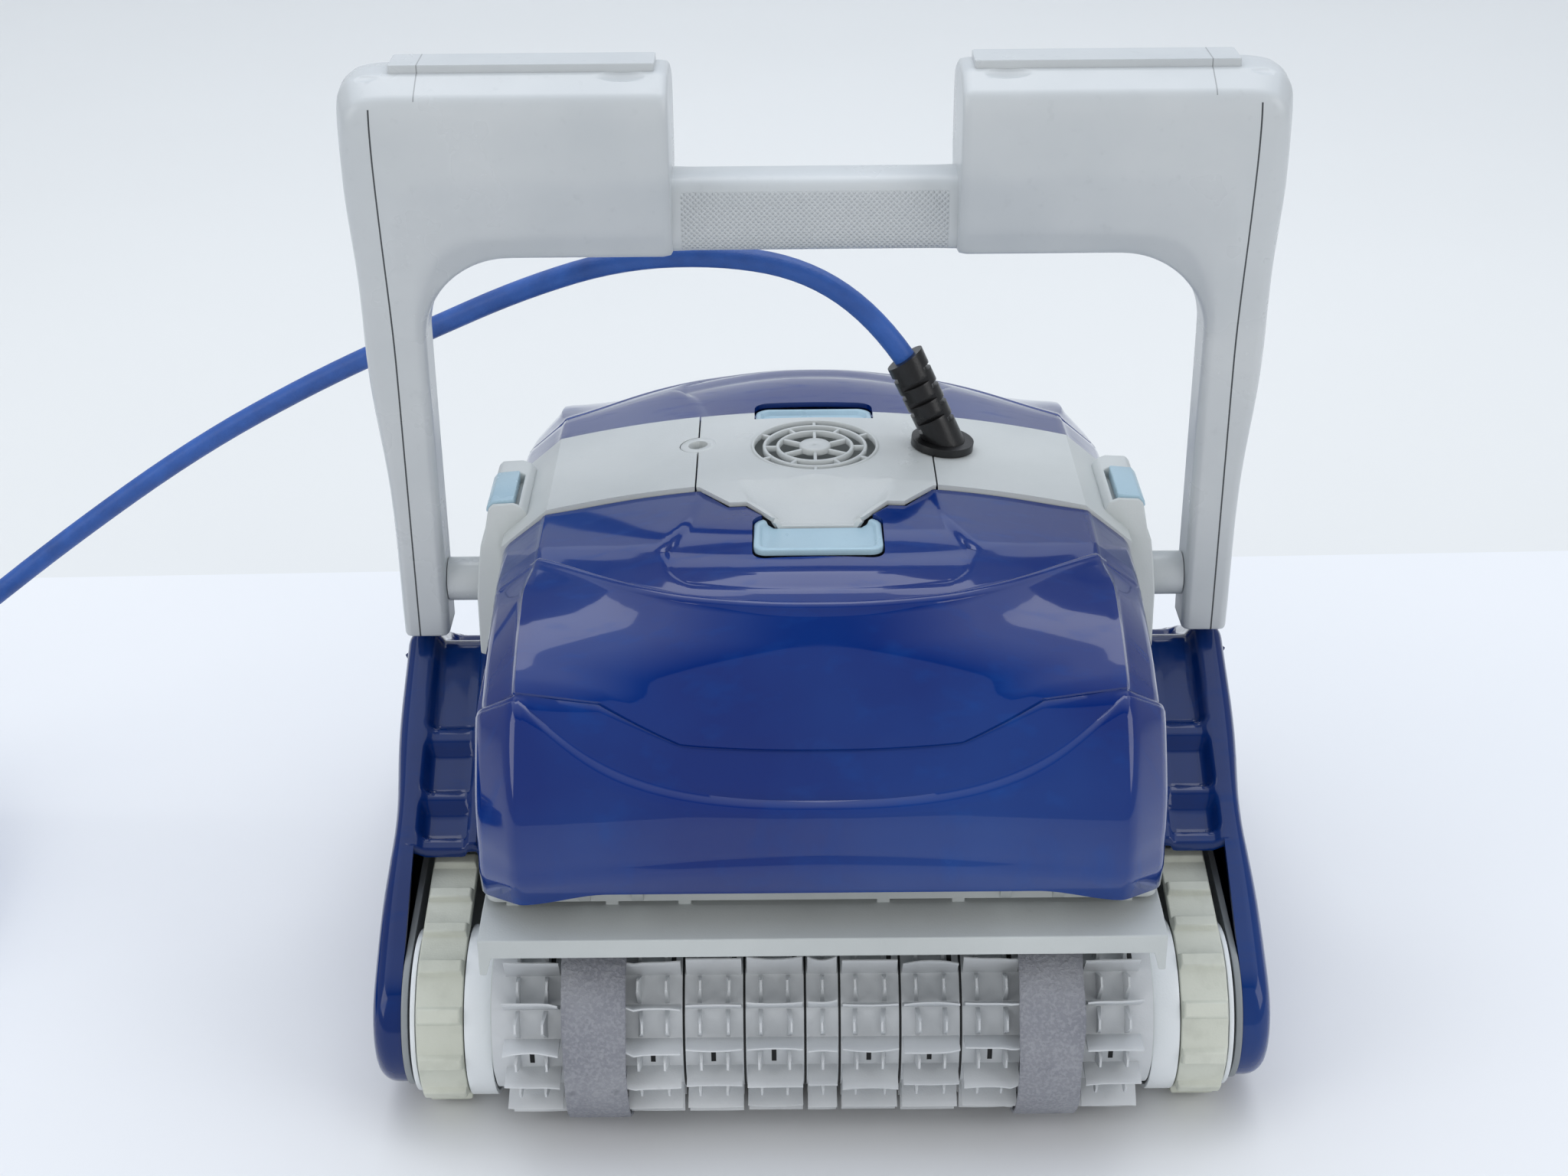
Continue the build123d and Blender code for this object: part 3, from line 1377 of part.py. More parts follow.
# route of the free cable, from the strain relief to the start of the coil
coil_centre = Vector(-600.0, -10.0, 0.0)
route = (
    tuple(relief_tip),
    (30.0, 13.0, 331.0),
    (-2.0, 21.0, 352.0),
    (-42.0, 32.0, 357.0),
    (-94.0, 49.0, 350.0),
    (-146.0, 66.0, 329.0),
    (-201.0, 82.0, 300.0),
    (-262.0, 93.0, 269.0),
    (-332.0, 98.0, 229.0),
    (-410.0, 100.0, 174.0),
    (-480.0, 100.0, 120.0),
    (-536.0, 99.0, 80.0),
    (-576.0, 98.5, 57.0),
    (-606.0, 98.0, 47.0),
)
first_run = Vector(*route[1]) - Vector(*route[0])
relief_axis = (relief_tip - relief_start).normalized()
relief_length = (relief_tip - relief_start).length
relief_plane = Plane(origin=relief_start, z_dir=relief_axis)
relief_slots = 7
relief_slot_width = 2.4
gland_stem_length = 16.0

with BuildPart() as cable_gland:
    with BuildSketch(gland_plane.offset(-gland_stem_length)):
        Circle(gland_hole_radius)
    extrude(amount=gland_stem_length)
    with BuildSketch(gland_plane):
        Circle(gland_flange_radius)
    extrude(amount=gland_plate)
save(cable_gland, "cable_gland")

with BuildPart() as strain_relief:
    with BuildSketch(gland_plane.offset(gland_plate)):
        Circle(relief_radius)
    with BuildSketch(Plane(origin=relief_tip, z_dir=first_run)):
        Circle(relief_radius - 1)
    loft()
    # slots from alternate sides let it bend
    for slot in range(relief_slots):
        step = (relief_length - 17) / (relief_slots - 1)
        with BuildSketch(relief_plane.offset(8 + slot * step)):
            with PolarLocations(relief_radius, 2, start_angle=90 * (slot % 2)):
                Rectangle(8, 3 * relief_radius)
        extrude(amount=relief_slot_width, mode=Mode.SUBTRACT)
save(strain_relief, "strain_relief")

def bend_radii(points):
    """Largest arc that each corner of the route allows between its two runs."""
    radii = []
    for before, corner, after in zip(points, points[1:], points[2:]):
        run_in = Vector(*corner) - Vector(*before)
        run_out = Vector(*after) - Vector(*corner)
        half_turn = math.radians(run_in.get_angle(run_out)) / 2
        radii.append(0.45 * min(run_in.length, run_out.length) / math.tan(half_turn))
    return radii


route_radii = bend_radii(route)
print("cable bend radii:", [round(r) for r in route_radii])

with BuildPart() as cable:
    with BuildLine() as cable_line:
        FilletPolyline(*route, radius=route_radii)
    with BuildSketch(Plane(origin=cable_line.line @ 0, z_dir=cable_line.line % 0)):
        Circle(cable_diameter / 2)
    sweep(path=cable_line.line)
save(cable, "cable")
tube_length = cable_line.wires()[0].length
tube_volume = math.pi * cable_diameter**2 / 4 * tube_length
print("cable tube length:", tube_length, "volume / (section x length):", cable.part.volume / tube_volume)

# the rest of the cable lies in a coil on the floor, and ends in a plug on top of it
plug_radius = 13.0
plug_length = 62.0
plug_angle = 300.0
coil_corner = 16.0
tail_rise = plug_radius + 1.0
tail_length = 42.0
tail_flat = 6.0
ring_radius = coil_middle_diameter / 2
turn_angle = math.radians(plug_angle)
plug_direction = Vector(-math.sin(turn_angle), math.cos(turn_angle), 0)
plug_back = coil_centre + Vector(
    ring_radius * math.cos(turn_angle), ring_radius * math.sin(turn_angle), coil_section + tail_rise
)
tail_start = plug_back - plug_direction * tail_length - Vector(0, 0, tail_rise + cable_diameter)

with BuildPart() as cable_coil:
    with BuildSketch(Plane(origin=coil_centre, x_dir=(1, 0, 0), z_dir=(0, -1, 0))):
        with Locations((ring_radius, coil_section / 2)):
            RectangleRounded(coil_section, coil_section, coil_corner)
    revolve(axis=Axis(coil_centre, (0, 0, 1)))
    # the last of the cable rises to the plug
    with BuildLine() as tail_line:
        FilletPolyline(
            tuple(tail_start),
            tuple(plug_back - plug_direction * tail_flat * 2),
            tuple(plug_back),
            radius=tail_flat * 2,
        )
    with BuildSketch(Plane(origin=tail_line.line @ 0, z_dir=tail_line.line % 0)):
        Circle(cable_diameter / 2)
    sweep(path=tail_line.line)
save(cable_coil, "cable_coil")

with BuildPart() as cable_plug:
    with BuildSketch(Plane(origin=plug_back, z_dir=plug_direction)):
        Circle(cable_diameter / 2 + 1.5)
    with BuildSketch(Plane(origin=plug_back, z_dir=plug_direction).offset(16)):
        Circle(plug_radius - 2.5)
    loft()
    with BuildSketch(Plane(origin=plug_back, z_dir=plug_direction).offset(16)):
        Circle(plug_radius)
    extrude(amount=plug_length - 30)
    with BuildSketch(Plane(origin=plug_back, z_dir=plug_direction).offset(plug_length - 14)):
        Circle(plug_radius - 3)
    extrude(amount=14)
    with BuildSketch(Plane(origin=plug_back, z_dir=plug_direction).offset(plug_length - 10)):
        Circle(plug_radius - 5)
    extrude(amount=12, mode=Mode.SUBTRACT)
save(cable_plug, "cable_plug")
free_turns = (cable_length - tube_length) / (math.pi * coil_middle_diameter)
print("turns in the coil, about:", round(free_turns, 1))
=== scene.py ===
import math

import bmesh
import bpy
import numpy as np
from mathutils import Matrix, Vector


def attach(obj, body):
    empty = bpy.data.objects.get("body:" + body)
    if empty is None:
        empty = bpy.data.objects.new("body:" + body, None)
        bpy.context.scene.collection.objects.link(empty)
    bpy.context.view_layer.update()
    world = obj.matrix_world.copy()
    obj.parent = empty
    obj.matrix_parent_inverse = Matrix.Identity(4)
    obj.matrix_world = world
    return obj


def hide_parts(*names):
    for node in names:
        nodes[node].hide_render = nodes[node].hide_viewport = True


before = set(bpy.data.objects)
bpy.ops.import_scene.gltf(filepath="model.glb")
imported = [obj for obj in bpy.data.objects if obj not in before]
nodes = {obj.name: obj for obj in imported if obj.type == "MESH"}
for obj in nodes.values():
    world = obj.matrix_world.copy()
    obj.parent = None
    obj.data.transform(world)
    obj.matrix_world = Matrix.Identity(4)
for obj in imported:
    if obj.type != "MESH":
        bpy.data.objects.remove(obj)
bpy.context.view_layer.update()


# ---- Floor, wall and light --------------------------------------------------
# The cleaner stands on a pale floor in front of a pale wall, under soft lamps
# overhead and at both sides, as in a plain studio.
def add_mesh(name, points, faces, smooth=True):
    """A new mesh object from points in metres and faces as tuples of indices."""
    mesh = bpy.data.meshes.new(name)
    mesh.from_pydata([tuple(p) for p in points], [], faces)
    mesh.validate()
    if smooth:
        mesh.shade_smooth()
    piece = bpy.data.objects.new(name, mesh)
    bpy.context.scene.collection.objects.link(piece)
    return piece


class Wire:
    """An output of a node. Arithmetic on it adds Math nodes to its finish."""

    def __init__(self, finish, socket):
        self.finish, self.socket = finish, socket

    def maths(self, operation, *terms):
        return self.finish.node("ShaderNodeMath", {"operation": operation}, dict(enumerate(terms)))

    def __add__(self, other):
        return self.maths("ADD", self, other)

    def __sub__(self, other):
        return self.maths("SUBTRACT", self, other)

    def __rsub__(self, other):
        return self.maths("SUBTRACT", other, self)

    def __mul__(self, other):
        return self.maths("MULTIPLY", self, other)

    def __gt__(self, other):
        return self.maths("GREATER_THAN", self, other)

    def __lt__(self, other):
        return self.maths("LESS_THAN", self, other)

    __radd__ = __add__
    __rmul__ = __mul__


class Finish:
    """A material: one Principled shader, and the nodes that vary it over the surface."""

    def __init__(self, name, colour, **sockets):
        self.material = bpy.data.materials.new(name)
        self.material.use_nodes = True
        self.tree = self.material.node_tree
        self.shader = self.tree.nodes["Principled BSDF"]
        self.set(Base_Color=self.hue(colour), **sockets)

    def hue(self, code):
        """Linear colour of an sRGB code such as 0x20408F."""
        parts = [(code >> shift & 255) / 255 for shift in (16, 8, 0)]
        return (*[p / 12.92 if p <= 0.04045 else ((p + 0.055) / 1.055) ** 2.4 for p in parts], 1)

    def set(self, **sockets):
        for name, value in sockets.items():
            self.feed(self.shader.inputs[name.replace("_", " ")], value)
        return self

    def feed(self, socket, value):
        if isinstance(value, Wire):
            self.tree.links.new(value.socket, socket)
        else:
            socket.default_value = value

    def node(self, kind, settings, sockets, output=0):
        """Adds a node: its settings first, then the values or links of its sockets."""
        made = self.tree.nodes.new(kind)
        for name, value in settings.items():
            if name == "stops":
                ramp = made.color_ramp.elements
                while len(ramp) < len(value):
                    ramp.new(0.5)
                for element, (place, level) in zip(ramp, value):
                    element.position, element.color = place, (level, level, level, 1)
            else:
                setattr(made, name, value)
        for key, value in sockets.items():
            self.feed(made.inputs[key], value)
        return Wire(self, made.outputs[output])

    def place(self, scale=(1, 1, 1)):
        """Object coordinates, stretched by scale."""
        where = self.node("ShaderNodeTexCoord", {}, {}, "Object")
        return self.node("ShaderNodeMapping", {}, {"Vector": where, "Scale": scale})

    def noise(self, size, detail=3.0, stretch=(1, 1, 1), spread=(0.3, 0.7)):
        """Cloudy values from 0 to 1; size is the width of a cloud in metres."""
        cloud = self.node(
            "ShaderNodeTexNoise",
            {},
            {"Vector": self.place(stretch), "Scale": 1 / size, "Detail": detail},
        )
        return self.ramp(cloud, spread)

    def ramp(self, value, spread):
        """Values from 0 to 1 as value goes through the spread."""
        stops = [(spread[0], 0), (spread[1], 1)]
        return self.node("ShaderNodeValToRGB", {"stops": stops}, {"Fac": value})

    def mix(self, share, first, second):
        """Colour that goes from first to second as share goes from 0 to 1."""
        colours = [c if isinstance(c, Wire) else self.hue(c) for c in (first, second)]
        return self.node(
            "ShaderNodeMix",
            {"data_type": "RGBA"},
            {"Factor": share, 6: colours[0], 7: colours[1]},
            2,
        )

    def bump(self, height, depth, strength=1.0):
        """Normal of a surface that stands up by depth metres where height is 1."""
        return self.node(
            "ShaderNodeBump", {}, {"Height": height, "Distance": depth, "Strength": strength}
        )


floor_half = 6.0
wall_y = 3.4
wall_high = 5.0
edge_y = 0.413            # the floor's paler part starts behind the cleaner
edge_slant = 0.02
floor_finish = Finish("pale_floor", 0xE0E3E8, Roughness=0.55)
floor_x, floor_y = (
    floor_finish.node("ShaderNodeSeparateXYZ", {}, {0: floor_finish.place()}, axis)
    for axis in "XY"
)
paler = (floor_y - floor_x * edge_slant) > edge_y
clouds = floor_finish.noise(0.9)
floor_finish.set(
    Base_Color=floor_finish.mix(
        paler,
        floor_finish.mix(clouds, 0xE6E8EA, 0xECEDEE),
        floor_finish.mix(clouds, 0xE1E2E0, 0xE4E5E3),
    )
)
wall_finish = Finish("pale_wall", 0xECEEF0, Roughness=0.8)
wall_finish.set(Base_Color=wall_finish.mix(wall_finish.noise(1.5), 0xE2E3E1, 0xE6E6E5))
stage_floor = add_mesh(
    "stage_floor",
    [(x * floor_half, y * floor_half, 0) for x, y in ((-1, -1), (1, -1), (1, 1), (-1, 1))],
    [(0, 1, 2, 3)],
)
stage_wall = add_mesh(
    "stage_wall",
    [(x * floor_half, wall_y, z * wall_high) for x, z in ((-1, 0), (1, 0), (1, 1), (-1, 1))],
    [(0, 1, 2, 3)],
)
ceiling_z = 2.7
ceiling_half = 3.0
ceiling_near, ceiling_full = -1.75, -0.25      # it brightens between these distances
ceiling_glow = Finish("bright_ceiling", 0x000000, Roughness=1.0, Emission_Strength=1.3)
ceiling_y = ceiling_glow.node("ShaderNodeSeparateXYZ", {}, {0: ceiling_glow.place()}, "Y")
brightness = ceiling_glow.ramp(
    (ceiling_y - ceiling_near) * (1 / (ceiling_full - ceiling_near)), (0, 1)
)
ceiling_glow.set(Emission_Color=ceiling_glow.mix(brightness, 0x000000, 0xEAF2FF))
stage_ceiling = add_mesh(
    "stage_ceiling",
    [
        (x * ceiling_half, y, ceiling_z)
        for x, y in ((-1, ceiling_near), (1, ceiling_near), (1, wall_y), (-1, wall_y))
    ],
    [(3, 2, 1, 0)],
)
for backdrop, finish in (
    (stage_floor, floor_finish), (stage_wall, wall_finish), (stage_ceiling, ceiling_glow),
):
    backdrop.data.materials.append(finish.material)

lamps = {
    # name: place, point that it faces, size across and along, watts
    "lamp_top": ((0.0, 0.75, 2.5), (0.0, 0.0, 0.1), (2.4, 1.2), 16.0),
    "lamp_left": ((-2.2, -1.3, 1.5), (0.0, 0.0, 0.2), (1.4, 1.6), 15.0),
    "lamp_right": ((2.2, -1.3, 1.5), (0.0, 0.0, 0.2), (1.4, 1.6), 15.0),
    "lamp_front": ((0.0, -3.2, 1.0), (0.0, -0.1, 0.0), (3.0, 1.4), 20.0),
}
for name, (place, facing, (across, along), watts) in lamps.items():
    lamp = bpy.data.lights.new(name, "AREA")
    lamp.shape, lamp.size, lamp.size_y, lamp.energy = "RECTANGLE", across, along, watts
    holder = bpy.data.objects.new(name, lamp)
    holder.location = place
    holder.rotation_euler = (Vector(facing) - Vector(place)).to_track_quat("-Z", "Y").to_euler()
    holder.visible_glossy = name != "lamp_front"      # the covers do not mirror it
    bpy.context.scene.collection.objects.link(holder)
world_colour = (0.93, 0.95, 1.0, 1)
world_strength = 0.42
world = bpy.data.worlds.new("studio")
world.use_nodes = True
sky = world.node_tree.nodes["Background"]
sky.inputs["Color"].default_value = world_colour
sky.inputs["Strength"].default_value = world_strength
bpy.context.scene.world = world
bpy.context.scene.view_settings.view_transform = "Standard"


# ---- Camera -----------------------------------------------------------------
# Stands close in front, a little left of the middle, and looks down at the cleaner.
camera_place = (-0.0158, -1.039, 0.718)
camera_pitch = 26.9
camera_roll = 0.5
camera_lens = 52.73
camera = bpy.data.objects.new("camera", bpy.data.cameras.new("camera"))
camera.data.lens = camera_lens
camera.data.sensor_width = 36.0
camera.matrix_world = (
    Matrix.Translation(camera_place)
    @ Matrix.Rotation(math.radians(90 - camera_pitch), 4, "X")
    @ Matrix.Rotation(math.radians(-camera_roll), 4, "Z")
)
bpy.context.scene.collection.objects.link(camera)
bpy.context.scene.camera = camera


# ---- Tub and bottom plate ---------------------------------------------------
# The tub carries everything else; the plate with its two intake slots closes it
# below. Injection-moulded ABS with a fine spark-eroded grain and rounded edges.
plastic_grain = 0.00003


def plastic(name, colour, worn, rough=(0.38, 0.5), **sockets):
    """Moulded plastic: cloudy ageing, faint grain and uneven gloss."""
    finish = Finish(name, colour, **sockets)
    ageing = finish.noise(0.09, 5, spread=(0.35, 0.75))
    specks = finish.noise(0.004, 6, spread=(0.62, 0.8))
    gloss = finish.noise(0.03, 4)
    aged = finish.mix(ageing, colour, worn)
    return finish.set(
        Base_Color=finish.mix(specks * 0.35, aged, worn),
        Roughness=gloss * (rough[1] - rough[0]) + rough[0],
        Normal=finish.bump(finish.noise(0.0009, 2), plastic_grain),
    )


def round_edges(piece, width, segments=2, angle=32):
    """Small rounding along all edges sharper than angle."""
    bevel = piece.modifiers.new("round_edges", "BEVEL")
    bevel.width, bevel.segments = width, segments
    bevel.limit_method, bevel.angle_limit = "ANGLE", math.radians(angle)
    bevel.harden_normals = False
    bevel.use_clamp_overlap = True


def dress(finish, *names, edge):
    """Gives CAD pieces their finish, and edges that are rounded by edge metres."""
    for name in names:
        piece = nodes[name]
        piece.data.materials.clear()
        piece.data.materials.append(finish.material)
        if edge:
            weld = piece.modifiers.new("weld", "WELD")
            weld.merge_threshold = 0.00001
            round_edges(piece, edge)


light_grey = plastic("light_grey_plastic", 0xC3C8C7, 0xB4B9B8)
dress(light_grey, "chassis", "base_plate", edge=0.0005)


# ---- Motor unit, impeller and outlet duct -----------------------------------
# A sealed black box with the pump and drive motors stands in the middle of the
# tub. Its impeller turns in the duct that leads up to the outlet grille.
black = plastic("black_plastic", 0x1B1B1D, 0x2A2A2C, rough=(0.4, 0.55))
dark_grey = plastic("grey_plastic", 0x8F9496, 0x7C8183)
dress(black, "motor_unit", edge=0.0005)
dress(dark_grey, "impeller", edge=0.0004)
dress(light_grey, "outlet_duct", edge=0.0004)


# ---- Filter baskets ---------------------------------------------------------
# Two slatted polypropylene baskets that lift out of the tub, each with pleated
# polyester panels which slide into it.
basket_grey = plastic("basket_plastic", 0xD5D9DA, 0xC2C8CA)
dress(basket_grey, "filter_basket_front", "filter_basket_rear", edge=0.0003)
panel_cloth = Finish("filter_fabric", 0xE6E6E2, Roughness=0.9)
weave = panel_cloth.noise(0.0012, 2)
panel_cloth.set(
    Base_Color=panel_cloth.mix(panel_cloth.noise(0.05, 4), 0xE8E8E4, 0xD6D5CC),
    Normal=panel_cloth.bump(weave, 0.0001),
)
dress(panel_cloth, "filter_panels_front", "filter_panels_rear", edge=0)


# ---- Intake flaps -----------------------------------------------------------
# Thin plates, hinged under the baskets, that fall shut when the pump stops and
# keep the dirt in.
dress(dark_grey, "intake_flap_front", "intake_flap_rear", edge=0.0004)


# ---- Wheels and drive -------------------------------------------------------
# Side plates screwed to the tub carry the axles and bushes. On each side a shaft
# turns a toothed pulley, and white nylon wheels run at both ends of the belt.
white = plastic("white_plastic", 0xE4E8EA, 0xD3D8DA, rough=(0.3, 0.4))
steel = plastic("steel", 0xB9BBBD, 0x9C9EA0, rough=(0.22, 0.35), Metallic=1.0)
dress(dark_grey, "side_plate_left", "side_plate_right", edge=0.0004)
dress(black, "drive_bushes", edge=0.0005)
dress(steel, "wheel_axles", "drive_shaft_left", "drive_shaft_right", edge=0)
dress(dark_grey, "drive_pulley_left", "drive_pulley_right", edge=0.0004)
for end in ("front", "rear"):
    dress(white, f"wheel_{end}_left", f"wheel_{end}_right", edge=0.0004)


# ---- Tracks -----------------------------------------------------------------
# Toothed rubber belts in warm pale grey, one moulding each. Broad lugs with
# chamfered sides stand on the belt, and specks of dust lie over it.
track_rubber = Finish("track_rubber", 0xC8CBC0)
track_clouds = track_rubber.noise(0.05, 5, spread=(0.3, 0.75))
track_dust = track_rubber.noise(0.012, 6, spread=(0.5, 0.8))
track_aged = track_rubber.mix(track_clouds, 0xCDD0C4, 0xC0C3B6)
track_rubber.set(
    Base_Color=track_rubber.mix(track_dust * 0.4, track_aged, 0xA4A79A),
    Roughness=track_clouds * 0.15 + 0.45,
    Normal=track_rubber.bump(track_rubber.noise(0.0012, 3), 0.00006),
)
mm = 0.001                # a piece's own sizes are in millimetres
track_inner, track_outer = 165.7, 187.5
belt_thick = 4.0
lug_count = 38
# the belt lies round these circles: Y, Z, radius
loop_circles = ((-150.0, 43.0, 40.0), (150.0, 43.0, 40.0), (0.0, 84.0, 30.3))


def convex_hull(points):
    """Corner points of the hull, anticlockwise."""
    points = sorted(points)
    hull = []
    for line in (points, points[::-1]):
        start = len(hull)
        for p in line:
            while len(hull) > start + 1:
                (ax, ay), (bx, by) = hull[-2], hull[-1]
                if (bx - ax) * (p[1] - ay) - (by - ay) * (p[0] - ax) > 0:
                    break
                hull.pop()
            hull.append(p)
        hull.pop()
    return hull


loop_hull = convex_hull(
    [
        (y + r * math.cos(a), z + r * math.sin(a))
        for y, z, r in loop_circles
        for a in np.linspace(0, 2 * math.pi, 121)[:-1]
    ]
)
loop_hull = np.array(loop_hull + loop_hull[:1])


def lengths_along(line):
    """Distance along a line of points, from 0 at its first."""
    return np.concatenate([[0], np.cumsum(np.linalg.norm(np.diff(line, axis=0), axis=1))])


loop_length = lengths_along(loop_hull)


def on_loop(along):
    """Point and outward direction at a distance along the belt's outer face."""
    along = along % loop_length[-1]
    spot, before, after = (
        np.array(
            [
                np.interp((along + shift) % loop_length[-1], loop_length, loop_hull[:, k])
                for k in (0, 1)
            ]
        )
        for shift in (0, -1.0, 1.0)
    )
    ahead = (after - before) / np.linalg.norm(after - before)
    return spot, np.array([ahead[1], -ahead[0]])


def face_outwards(piece, weld=False):
    """Turns all faces outwards, after welding points that coincide if asked."""
    edit = bmesh.new()
    edit.from_mesh(piece.data)
    if weld:
        bmesh.ops.remove_doubles(edit, verts=edit.verts, dist=0.00001)
    bmesh.ops.recalc_face_normals(edit, faces=edit.faces)
    edit.to_mesh(piece.data)
    edit.free()


class Mould:
    """Points and faces that are gathered for one mesh, each face with its finish number."""

    def __init__(self):
        self.points, self.faces, self.finishes = [], [], []

    def patch(self, grid, finish=0, closed=False):
        """Rows of points of equal length; closed joins the last point of a row to its first."""
        start, wide = len(self.points), len(grid[0])
        self.points += [tuple(p) for row in grid for p in row]
        for r in range(len(grid) - 1):
            for c in range(wide if closed else wide - 1):
                n = (c + 1) % wide
                corners = (r * wide + c, r * wide + n, (r + 1) * wide + n, (r + 1) * wide + c)
                self.faces.append([start + k for k in corners])
                self.finishes.append(finish)

    def cap(self, ring):
        """One face over a ring of points."""
        start = len(self.points)
        self.points += [tuple(p) for p in ring]
        self.faces.append(list(range(start, start + len(ring))))
        self.finishes.append(0)

    def make(self, name, *finishes, angle=40):
        """The piece, with edges sharper than angle left sharp."""
        piece = add_mesh(name, [Vector(p) * mm for p in self.points], self.faces)
        for finish in finishes:
            piece.data.materials.append(finish.material)
        for face, number in zip(piece.data.polygons, self.finishes):
            face.material_index = number
        face_outwards(piece, weld=True)
        piece.data.shade_smooth()
        piece.data.set_sharp_from_angle(angle=math.radians(angle))
        return piece


pitch = loop_length[-1] / lug_count
lug_shape = (
    # along the belt, height over it
    (-4.6, 0.0), (-4.1, 0.35), (-3.3, 2.35), (-2.6, 2.95), (0, 3.0),
    (2.6, 2.95), (3.3, 2.35), (4.1, 0.35), (4.6, 0.0),
)
belt_steps = [
    (lug * pitch + along, height) for lug in range(lug_count) for along, height in lug_shape
]
belt_edge = (
    # in from the belt's edge, level under its outer face, share of the lug's height
    (0.3, -belt_thick, 0), (0.0, -3.6, 0), (0.0, -0.5, 0), (0.4, 0.0, 0), (0.9, 0.0, 0.8),
    (1.7, 0.0, 1),
)
track_sections = [(track_inner + inset, level, share) for inset, level, share in belt_edge]
track_sections += [(track_outer - inset, level, share) for inset, level, share in belt_edge[::-1]]
for side, place in ((-1, "left"), (1, "right")):
    mould = Mould()
    rows = []
    for along, height in belt_steps:
        spot, out = on_loop(along)
        row = []
        for x, level, share in track_sections:
            point = spot + out * (level + height * share)
            row.append((side * x, point[0], point[1]))
        rows.append(row)
    mould.patch(rows + rows[:1], closed=True)
    belt = mould.make(f"belt_{place}", track_rubber, angle=35)
    round_edges(belt, 0.0005, segments=2, angle=30)
    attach(belt, "body")
    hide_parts(f"track_{place}")


# ---- Side covers ------------------------------------------------------------
# One blue moulding on each side: a shell over the wheels and a deck over the
# track with three soft pockets. Four screws hold each to its side plate.
side_outer = 209.5
side_crest = 200.5
side_wall = 2.6
side_plate_x = 195.3        # where the shell meets its side plate
wheel_corner = (150, 43, 34)        # Y, Z and radius of the outline over a wheel
top_corners = ((108, 108), (27, 154.1), (0, 169.5))
loop_spacing = 2.0
deck_half_y = 108.0
deck_low_z = 90.0
deck_columns = (
    198.5, 196.6, 195.0, 193.4, 191.8, 190, 187.5, 184, 180, 176, 173, 171,
    169.6, 168.2, 166.8, 165.4, 164, 162, 159, 157, 156,
)
deck_pockets = ((-9.0, 50.5, 5.0), (56.0, 81.5, 4.0), (84.5, 103.0, 4.0))    # near, far, softness
band_foot = (63.0, 126.6)    # half depth and height of the opening for the band's foot
skirt_drop = 6.0
rim_radius = 9.0
rim_insets = (0.0, 0.35, 1.2, 2.6, 4.4, 6.6, 9.0, 12.5, 15.0, 17.0, 22.0)
wheel_lip_x = 198.0
wheel_lip = ((0.9, 0.4), (1.4, 1.4), (1.4, 5.0))     # out and down of the lip's points


def gloss_blue(name, colour, worn, gloss=0.9):
    """Deep blue gloss plastic with wiped water marks and hair-fine scratches."""
    finish = Finish(name, colour, Coat_Roughness=0.05, Specular_IOR_Level=0.1)
    haze = finish.noise(0.16, 4, spread=(0.42, 0.85))
    wiped = finish.noise(0.02, 5, stretch=(1, 3, 0.4), spread=(0.55, 0.8))
    scratch = finish.noise(0.0015, 2, stretch=(0.06, 1, 1), spread=(0.66, 0.72))
    return finish.set(
        Base_Color=finish.mix(haze * 0.7 + wiped * 0.25, colour, worn),
        Roughness=wiped * 0.12 + haze * 0.08 + 0.16,
        Coat_Weight=gloss - wiped * 0.3,
        Normal=finish.bump(scratch + finish.noise(0.05, 2) * 6, 0.00001),
    )


side_blue = gloss_blue("side_blue_plastic", 0x03245F, 0x143F82, gloss=0.6)
dress(steel, "case_screws", edge=0)


def side_loop():
    """Even points round a side cover's outline, with softened corners, as (Y, Z)."""
    middle_y, middle_z, radius = wheel_corner
    ring = [
        (end * middle_y + radius * math.cos(a), middle_z + radius * math.sin(a))
        for end in (-1, 1)
        for a in np.linspace(0, 2 * math.pi, 73)[:-1]
    ]
    ring += [(end * y, z) for y, z in top_corners for end in (-1, 1)]
    hull = np.array(convex_hull(ring))
    hull = np.vstack([hull, hull[:1]])
    length = lengths_along(hull)
    stops = np.linspace(0, length[-1], int(length[-1] / loop_spacing) + 1)[:-1]
    loop = np.stack([np.interp(stops, length, hull[:, k]) for k in (0, 1)], 1)
    return sum(np.roll(loop, shift, 0) for shift in range(-3, 4)) / 7


def outer_reach(y):
    """Distance of the outer face from the middle: a waist, then fuller ends."""
    waist = 3.2 * math.exp(-(((abs(y) - 92) / 30) ** 2))
    return side_outer - waist - math.exp(-((y / 40) ** 2))


def ease(value):
    """Smooth step from 0 to 1."""
    t = np.clip(value, 0.0, 1.0)
    return t * t * (3 - 2 * t)


def deck_rise(x, y):
    """Height of the deck over the line of its rim."""
    away = abs(y)
    trough = float(ease((195.5 - x) / 6.0) * ease((x - 169.0) / 2.5))
    pockets = sum(
        float(ease((away - low) / soft) * ease((high - away) / soft))
        for low, high, soft in deck_pockets
    )
    inner_rim = float(ease((171.5 - x) / 2.0) * ease((x - 163.5) / 1.8))
    shelf = float(ease((165.0 - x) / 2.0))
    inner_rim *= 1 if away > 30 else 0.2
    return -2.2 * trough - 4.6 * trough * pockets + 0.9 * inner_rim - 4.0 * shelf


def settle(piece):
    """Writes the piece's modifiers into its mesh."""
    seen = piece.evaluated_get(bpy.context.evaluated_depsgraph_get())
    shape = bpy.data.meshes.new_from_object(seen)
    piece.modifiers.clear()
    piece.data = shape


